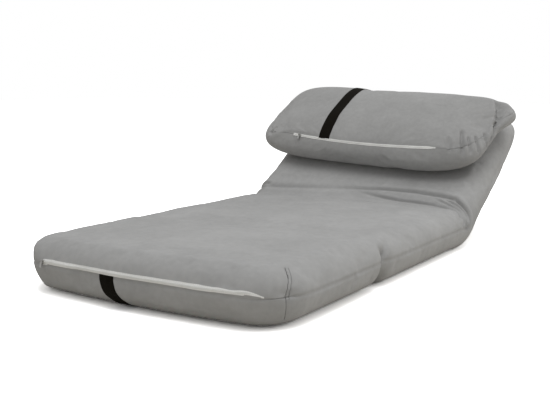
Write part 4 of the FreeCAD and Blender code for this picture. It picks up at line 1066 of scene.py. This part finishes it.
# %% Pillow creases
# Depth, width and places along the pillow, up the back and off the back.
PILLOW_CREASES = [
    (0.0150, 0.0060, [(0.314, 0.132, 0.030), (0.331, 0.108, 0.026), (0.344, 0.068, 0.018),
                      (0.356, 0.022, 0.008), (0.362, -0.040, -0.008)]),
    (0.0070, 0.0040, [(0.294, -0.034, 0.066), (0.304, -0.068, 0.048), (0.316, -0.114, 0.008)]),
    (0.0050, 0.0034, [(0.318, -0.052, 0.056), (0.334, -0.098, 0.010)]),
    (0.0050, 0.0034, [(0.332, -0.038, 0.046), (0.348, -0.084, 0.002)]),
    (0.0040, 0.0034, [(0.343, -0.012, 0.036), (0.359, -0.054, -0.006)]),
    (0.0034, 0.0040, [(0.268, -0.074, 0.058), (0.284, -0.116, 0.022)]),
    (0.0055, 0.0060, [(-0.321, -0.104, 0.032), (-0.311, -0.116, 0.022)]),
    (0.0025, 0.0040, [(-0.300, -0.095, 0.046), (-0.318, -0.108, 0.030)]),
    (0.0022, 0.0040, [(-0.335, -0.060, 0.030), (-0.322, -0.100, 0.028)]),
]
PILLOW_SEAM_DEPTH = 0.0016
push = np.zeros(len(pillow.data.vertices))
own_now = to_own(points_of(pillow.data))
case_tree = tree_of(pillow)
for depth, width, line in PILLOW_CREASES:
    spots = [case_tree.find_nearest(Vector(to_row(q)))[0] for q in smooth_line(line, 14)]
    gap, way = near_line(own_now, to_own(np.array([tuple(q) for q in spots])))
    push -= depth * fold_shape(gap, width) * smoothstep(0, 0.2, way) * (1 - smoothstep(0.8, 1, way))
push -= PILLOW_SEAM_DEPTH * np.clip(marks_of(pillow, "cut")[2], 0, 1) ** 1.5
places = points_of(pillow.data) + normals_of(pillow.data) * push[:, None]
print("pillow creases sink up to %.1f mm" % (-push.min() * 1000))

# %% Ear, full corner and notch
EAR_OUT = 0.029
EAR_UP = 0.004
FULL_UP = 0.004
FULL_OFF = 0.006
NOTCH_IN = 0.005
own_x, own_y, own_z = marks_of(pillow, "flat")
ear = smoothstep(0.325, 0.352, own_x + 0.25 * (own_y - 0.1))
ear *= np.exp(-((own_y - 0.098) / 0.052) ** 2) * np.exp(-((own_z + 0.012) / 0.048) ** 2)
full = smoothstep(0.22, 0.33, own_x) * smoothstep(0.0, 0.11, own_y) * smoothstep(-0.03, 0.03, own_z)
notch = np.exp(-((own_y - 0.030) / 0.018) ** 2) * smoothstep(0.34, 0.355, own_x)
places += turned(np.column_stack([EAR_OUT * ear, EAR_UP * ear + FULL_UP * full, FULL_OFF * full]))
places -= turned(np.column_stack([NOTCH_IN * notch, 0 * notch, 0 * notch]))
places[:, 2] = np.maximum(places[:, 2], FLOOR_GAP)
set_points(pillow.data, places)
print("ear out by %.1f mm" % (EAR_OUT * ear.max() * 1000))

# %% [markdown]
# ## Zip and band of the pillow
# They are the same kinds of strip as on the foot section, laid with the same helper. The
# zip line is the arc of its slider, given in pillow coordinates. The band comes out above
# the zip and goes over the top and down behind, along the oval of the section.

# %% Pillow zip
PILLOW_TAPE_WIDE = 0.0078
pillow_tree = tree_of(pillow)
zip_x = np.linspace(-0.222, 0.247, 150)
pillow_zip_line = to_row(np.column_stack([zip_x, zip_front(zip_x), np.full(len(zip_x), ZIP_LEVEL)]))
share = np.linspace(0, 1, len(zip_x))
ripple = 1 + 0.05 * np.sin(share * 47)
right_end = np.clip((1 - share) / 0.05, 0.3, 1) ** 0.6
zip_up = tuple(turned([0, 0.62, 0.78]))
pillow_tape = laid_strip("pillow_zip_tape_cloth", pillow_tree, pillow_zip_line, zip_up,
                         PILLOW_TAPE_WIDE * ripple * right_end, LAID_ON, TAPE_THICK, cols=6)
pillow_coil = zip_coil("pillow_zip_coil", pillow_tree, pillow_zip_line[2:-6], zip_up,
                       pitch=0.0015, half=0.0017, rise=0.0006, lift=0.0014)

# %% Pillow band
BAND_X = -0.108
OVAL_POWER = 0.91
band_own = [(BAND_X, -0.1300, 0.0430)]
for psi in np.radians([55, 48, 40, 30, 20, 10, 0, -10, -20, -30, -40, -50, -60, -70]):
    band_own.append((BAND_X, -PILLOW_D * np.sign(psi) * abs(math.sin(psi)) ** OVAL_POWER,
                     PILLOW_UP * math.cos(psi) ** OVAL_POWER))
pillow_band_line = smooth_line(to_row(np.array(band_own)), 110)
pillow_band_new = laid_strip("pillow_band_webbing", pillow_tree, pillow_band_line,
                             tuple(turned([1.0, 0, 0])), np.full(len(pillow_band_line), BAND_WIDE),
                             LAID_ON, BAND_THICK, cols=10)

# %% [markdown]
# ## Shared node groups
# Cloth, tape and webbing are all woven, so they share one weave group. It takes cloth
# coordinates in metres and gives a height and a tone: crossed sine waves for the threads
# and a fine noise for the slubs, the thicker places in a thread. A second group gives the
# soft patches that brushed cloth shows where the pile lies differently. Groups keep this
# in one place, and each material sets its own values on them.

# %% Node helpers
FULL_TURN = 6.283


def new_group(name, inputs, outputs):
    """An empty node group with its sockets, and its two end nodes."""
    group = bpy.data.node_groups.new(name, "ShaderNodeTree")
    for label, kind, value in inputs:
        socket = group.interface.new_socket(name=label, in_out="INPUT", socket_type=kind)
        if value is not None:
            socket.default_value = value
    for label, kind in outputs:
        group.interface.new_socket(name=label, in_out="OUTPUT", socket_type=kind)
    return group, group.nodes.new("NodeGroupInput"), group.nodes.new("NodeGroupOutput")


def math_node(tree, kind, a, b=None, c=None):
    """A Math node whose inputs are numbers or sockets; gives its output socket."""
    node = tree.nodes.new("ShaderNodeMath")
    node.operation = kind
    for number, value in enumerate((a, b, c)):
        if value is None:
            continue
        if isinstance(value, (int, float)):
            node.inputs[number].default_value = value
        else:
            tree.links.new(value, node.inputs[number])
    return node.outputs[0]


def noise_node(tree, place, detail):
    """A Noise texture at a place."""
    node = tree.nodes.new("ShaderNodeTexNoise")
    node.inputs["Detail"].default_value = detail
    tree.links.new(place, node.inputs["Vector"])
    return node


# %% Weave group
weave, put, get = new_group(
    "weave",
    [("Cloth", "NodeSocketVector", None), ("Pitch", "NodeSocketFloat", 0.0012),
     ("Slub", "NodeSocketFloat", 0.3)],
    [("Height", "NodeSocketFloat"), ("Tone", "NodeSocketFloat")])
split = weave.nodes.new("ShaderNodeSeparateXYZ")
weave.links.new(put.outputs["Cloth"], split.inputs[0])
turns = math_node(weave, "DIVIDE", FULL_TURN, put.outputs["Pitch"])
warp = math_node(weave, "SINE", math_node(weave, "MULTIPLY", split.outputs["X"], turns))
weft = math_node(weave, "SINE", math_node(weave, "MULTIPLY", split.outputs["Y"], turns))
threads = math_node(weave, "MULTIPLY", warp, weft)
slub = noise_node(weave, put.outputs["Cloth"], detail=3.0)
slub.inputs["Scale"].default_value = 900.0
uneven = math_node(weave, "SUBTRACT", slub.outputs["Fac"], 0.5)
uneven = math_node(weave, "MULTIPLY", uneven, put.outputs["Slub"])
height = math_node(weave, "MULTIPLY_ADD", threads, 0.35, uneven)
tone = math_node(weave, "MULTIPLY_ADD", threads, 0.5, math_node(weave, "MULTIPLY", uneven, 2.0))
weave.links.new(height, get.inputs["Height"])
weave.links.new(tone, get.inputs["Tone"])
print("weave group:", len(weave.nodes), "nodes")

# %% Patches group
patches, put, get = new_group(
    "pile_patches",
    [("Place", "NodeSocketVector", None), ("Size", "NodeSocketFloat", 6.0)],
    [("Fac", "NodeSocketFloat")])
big = noise_node(patches, put.outputs["Place"], detail=4.0)
big.inputs["Roughness"].default_value = 0.62
big.inputs["Distortion"].default_value = 0.6
patches.links.new(put.outputs["Size"], big.inputs["Scale"])
fine = noise_node(patches, put.outputs["Place"], detail=5.0)
patches.links.new(math_node(patches, "MULTIPLY", put.outputs["Size"], 11.0), fine.inputs["Scale"])
big_part = math_node(patches, "MULTIPLY", big.outputs["Fac"], 0.62)
fine_part = math_node(patches, "MULTIPLY", fine.outputs["Fac"], 0.38)
patches.links.new(math_node(patches, "ADD", big_part, fine_part), get.inputs["Fac"])
print("patches group:", len(patches.nodes), "nodes")

# %% [markdown]
# ## Cloth, tape, thread and webbing
# The cover is a brushed grey polyester weave, matt, with a faint sheen at grazing angles;
# the pillow has the same cloth, a shade darker. A photograph of cloth as a texture would
# repeat and blur. The weave group on the UV map gives real threads in real size, and the
# patches group on Object coordinates gives the cloudy look from a step away. Zip tape and
# webbing add slanted ribs. The colours are the two ends of a ramp between them.

# %% Material helpers
def bare_material(name):
    """A new material, its node tree and its shader."""
    mat = bpy.data.materials.new(name)
    mat.use_nodes = True
    return mat, mat.node_tree, mat.node_tree.nodes["Principled BSDF"]


def group_node(tree, group, **values):
    """Places a node group and sets its own values."""
    node = tree.nodes.new("ShaderNodeGroup")
    node.node_tree = group
    for label, value in values.items():
        node.inputs[label].default_value = value
    return node


def two_tones(tree, bsdf, fac, dark, light, low, high):
    """Colours the shader from dark to light between two values of a mask."""
    ramp = tree.nodes.new("ShaderNodeValToRGB")
    for stop, place, colour in zip(ramp.color_ramp.elements, (low, high), (dark, light)):
        stop.position = place
        stop.color = (*colour, 1)
    tree.links.new(fac, ramp.inputs["Fac"])
    tree.links.new(ramp.outputs["Color"], bsdf.inputs["Base Color"])


def bumps(tree, bsdf, height, distance, strength):
    """Lets a height raise the surface of the shader."""
    lump = tree.nodes.new("ShaderNodeBump")
    lump.inputs["Distance"].default_value = distance
    lump.inputs["Strength"].default_value = strength
    tree.links.new(height, lump.inputs["Height"])
    tree.links.new(lump.outputs["Normal"], bsdf.inputs["Normal"])


# %% Cloth material
def cloth_material(name, dark, light, pitch, slub, patch_size, bump, roughness, sheen, ribs=0.0):
    """A woven cloth between two colours, with patches, weave bump and a little sheen."""
    mat, tree, bsdf = bare_material(name)
    uv = tree.nodes.new("ShaderNodeUVMap")
    uv.uv_map = "cloth"
    threads = group_node(tree, weave, Pitch=pitch, Slub=slub)
    tree.links.new(uv.outputs["UV"], threads.inputs["Cloth"])
    coords = tree.nodes.new("ShaderNodeTexCoord")
    spots = group_node(tree, patches, Size=patch_size)
    tree.links.new(coords.outputs["Object"], spots.inputs["Place"])
    fac = math_node(tree, "MULTIPLY_ADD", threads.outputs["Tone"], 0.25, spots.outputs["Fac"])
    height = threads.outputs["Height"]
    if ribs:
        split = tree.nodes.new("ShaderNodeSeparateXYZ")
        tree.links.new(uv.outputs["UV"], split.inputs[0])
        slant = math_node(tree, "MULTIPLY_ADD", split.outputs["Y"], 0.7, split.outputs["X"])
        wave = math_node(tree, "SINE", math_node(tree, "MULTIPLY", slant, FULL_TURN / ribs))
        height = math_node(tree, "MULTIPLY_ADD", wave, 1.2, height)
        fac = math_node(tree, "MULTIPLY_ADD", wave, 0.22, fac)
    two_tones(tree, bsdf, fac, dark, light, 0.30, 0.72)
    bumps(tree, bsdf, height, bump, 0.8)
    bsdf.inputs["Roughness"].default_value = roughness
    bsdf.inputs["Specular IOR Level"].default_value = 0.25 if sheen else 0.10
    bsdf.inputs["Sheen Weight"].default_value = sheen
    bsdf.inputs["Sheen Roughness"].default_value = 0.45
    return mat


cover_cloth = cloth_material("cover_cloth_grey", (0.335, 0.335, 0.332), (0.435, 0.435, 0.431),
                             pitch=0.0016, slub=0.9, patch_size=7.0, bump=0.00028,
                             roughness=0.92, sheen=0.12)
pillow_cloth = cloth_material("pillow_cloth_grey", (0.300, 0.300, 0.297), (0.395, 0.395, 0.391),
                              pitch=0.0016, slub=0.9, patch_size=9.0, bump=0.00028,
                              roughness=0.92, sheen=0.12)
# Dart thread: its dark colour is painted shade, standing in for the shade in the narrow dart fold.
dart_thread_shade = cloth_material("stitch_thread_painted_shade", (0.125, 0.125, 0.122), (0.175, 0.175, 0.172),
                             pitch=0.0008, slub=0.3, patch_size=60.0, bump=0.00010,
                             roughness=0.9, sheen=0.0)
tape_cloth = cloth_material("zip_tape_white", (0.80, 0.80, 0.78), (0.93, 0.93, 0.91),
                            pitch=0.0010, slub=0.4, patch_size=30.0, bump=0.00020,
                            roughness=0.80, sheen=0.05, ribs=0.0042)
band_cloth = cloth_material("webbing_black", (0.0024, 0.0016, 0.0004), (0.0062, 0.0044, 0.0014),
                            pitch=0.0019, slub=0.4, patch_size=40.0, bump=0.00025,
                            roughness=0.75, sheen=0.0, ribs=0.0030)
print("cloths:", [mat.name for mat in (cover_cloth, pillow_cloth, dart_thread_shade, tape_cloth, band_cloth)])

# %% [markdown]
# ## Metal, paint, straps and foam
# Most of these parts hide inside the cover, but each keeps the finish of the real one:
# painted steel tube, zinc plated hinge sheets, polypropylene straps and cut foam. They
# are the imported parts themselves, so only their materials are set. The patches group,
# much finer here, varies their colour and roughness a little, which keeps paint and metal
# from looking like plastic.

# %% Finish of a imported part
def plain_material(name, dark, light, scale, roughness, metallic, bump, stretch=(1, 1, 1)):
    """A finish with a fine procedural variation in colour and roughness."""
    mat, tree, bsdf = bare_material(name)
    coords = tree.nodes.new("ShaderNodeTexCoord")
    space = tree.nodes.new("ShaderNodeMapping")
    space.inputs["Scale"].default_value = stretch
    tree.links.new(coords.outputs["Object"], space.inputs["Vector"])
    spots = group_node(tree, patches, Size=scale)
    tree.links.new(space.outputs["Vector"], spots.inputs["Place"])
    fac = spots.outputs["Fac"]
    two_tones(tree, bsdf, fac, dark, light, 0.35, 0.65)
    tree.links.new(math_node(tree, "MULTIPLY_ADD", fac, 0.25, roughness - 0.12), bsdf.inputs["Roughness"])
    bumps(tree, bsdf, fac, bump, 0.6)
    bsdf.inputs["Metallic"].default_value = metallic
    return mat


FINISHES = {
    "frame_paint": plain_material("frame_paint_dark", (0.020, 0.021, 0.023), (0.032, 0.033, 0.036),
                                  scale=60, roughness=0.42, metallic=0.0, bump=0.00008),
    "hinge_steel": plain_material("hinge_steel_zinc", (0.42, 0.43, 0.45), (0.60, 0.61, 0.63),
                                  scale=90, roughness=0.36, metallic=1.0, bump=0.00004),
    "webbing": plain_material("strap_webbing", (0.030, 0.030, 0.032), (0.060, 0.060, 0.064),
                              scale=500, roughness=0.85, metallic=0.0, bump=0.0002, stretch=(1, 4, 1)),
    "zip_metal": plain_material("zip_metal_nickel", (0.50, 0.50, 0.49), (0.68, 0.68, 0.66),
                                scale=220, roughness=0.30, metallic=1.0, bump=0.00003),
    "foam": plain_material("foam_cut", (0.70, 0.66, 0.52), (0.80, 0.76, 0.62),
                           scale=420, roughness=0.95, metallic=0.0, bump=0.0006),
    "seam_cord": plain_material("seam_cord_grey", (0.30, 0.30, 0.30), (0.40, 0.40, 0.40),
                                scale=700, roughness=0.9, metallic=0.0, bump=0.0002),
}

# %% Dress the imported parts
# The first word that a part's name holds says its finish.
FINISH_BY_WORD = {"rivet": "hinge_steel", "pin": "hinge_steel", "spring": "hinge_steel",
                  "slider": "zip_metal", "pull": "zip_metal", "pawl": "hinge_steel",
                  "cheek": "hinge_steel", "plate": "hinge_steel", "strap": "webbing",
                  "tube": "frame_paint", "foam": "foam", "pad": "foam", "cord": "seam_cord",
                  "band": "webbing", "tape": "webbing", "fill": "foam", "cover": "seam_cord"}
for node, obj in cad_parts.items():
    finish = FINISHES[next(FINISH_BY_WORD[word] for word in FINISH_BY_WORD if word in node)]
    if not obj.material_slots:
        obj.data.materials.append(finish)
    for holder in obj.material_slots:
        holder.material = finish
print("finishes set on", len(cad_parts), "packed parts")

# %% [markdown]
# ## Tying the looks to the bodies
# Every new piece now takes its finish. The foot pieces ride the foot body and the pillow
# pieces the pillow body, and the imported pieces that a new piece stands for are hidden.
# The foot section has a body of its own. The seat and back share one cover on the real
# thing, so it stays one piece, bent over the hinge; cut in two it would open a gap when the back goes down.

# %% Riding and materials
def dress(obj, material):
    """Gives a new piece its material."""
    obj.data.materials.append(material)


for obj in (foot_part, seat_part, fold_strip):
    dress(obj, cover_cloth)
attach(foot_part, "foot")
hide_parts("foot_cover", "foot_foam")
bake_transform(seat_part)
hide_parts("seat_cover", "seat_base_foam", "seat_top_foam", "back_cover",
            "back_rear_foam", "back_front_foam", "waist_pad")
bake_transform(fold_strip)
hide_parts("fold_seam_cord")

dress(pillow, pillow_cloth)
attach(pillow, "pillow")
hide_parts("pillow_cover", "pillow_fill")

for obj in dart_stitch_shade_threads:
    dress(obj, dart_thread_shade)
    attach(obj, "foot")

for obj, material, slot, body, node in (
        (foot_tape, tape_cloth, "zip_tape", "foot", "foot_zip_tape"),
        (foot_coil, tape_cloth, "zip_tape", "foot", None),
        (foot_band_new, band_cloth, "band_webbing", "foot", "foot_band"),
        (pillow_tape, tape_cloth, "zip_tape", "pillow", "pillow_zip_tape"),
        (pillow_coil, tape_cloth, "zip_tape", "pillow", None),
        (pillow_band_new, band_cloth, "band_webbing", "pillow", "pillow_band")):
    dress(obj, material)
    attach(obj, body)
    if node:
        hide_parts(node)
    print(obj.name, "rides", body)
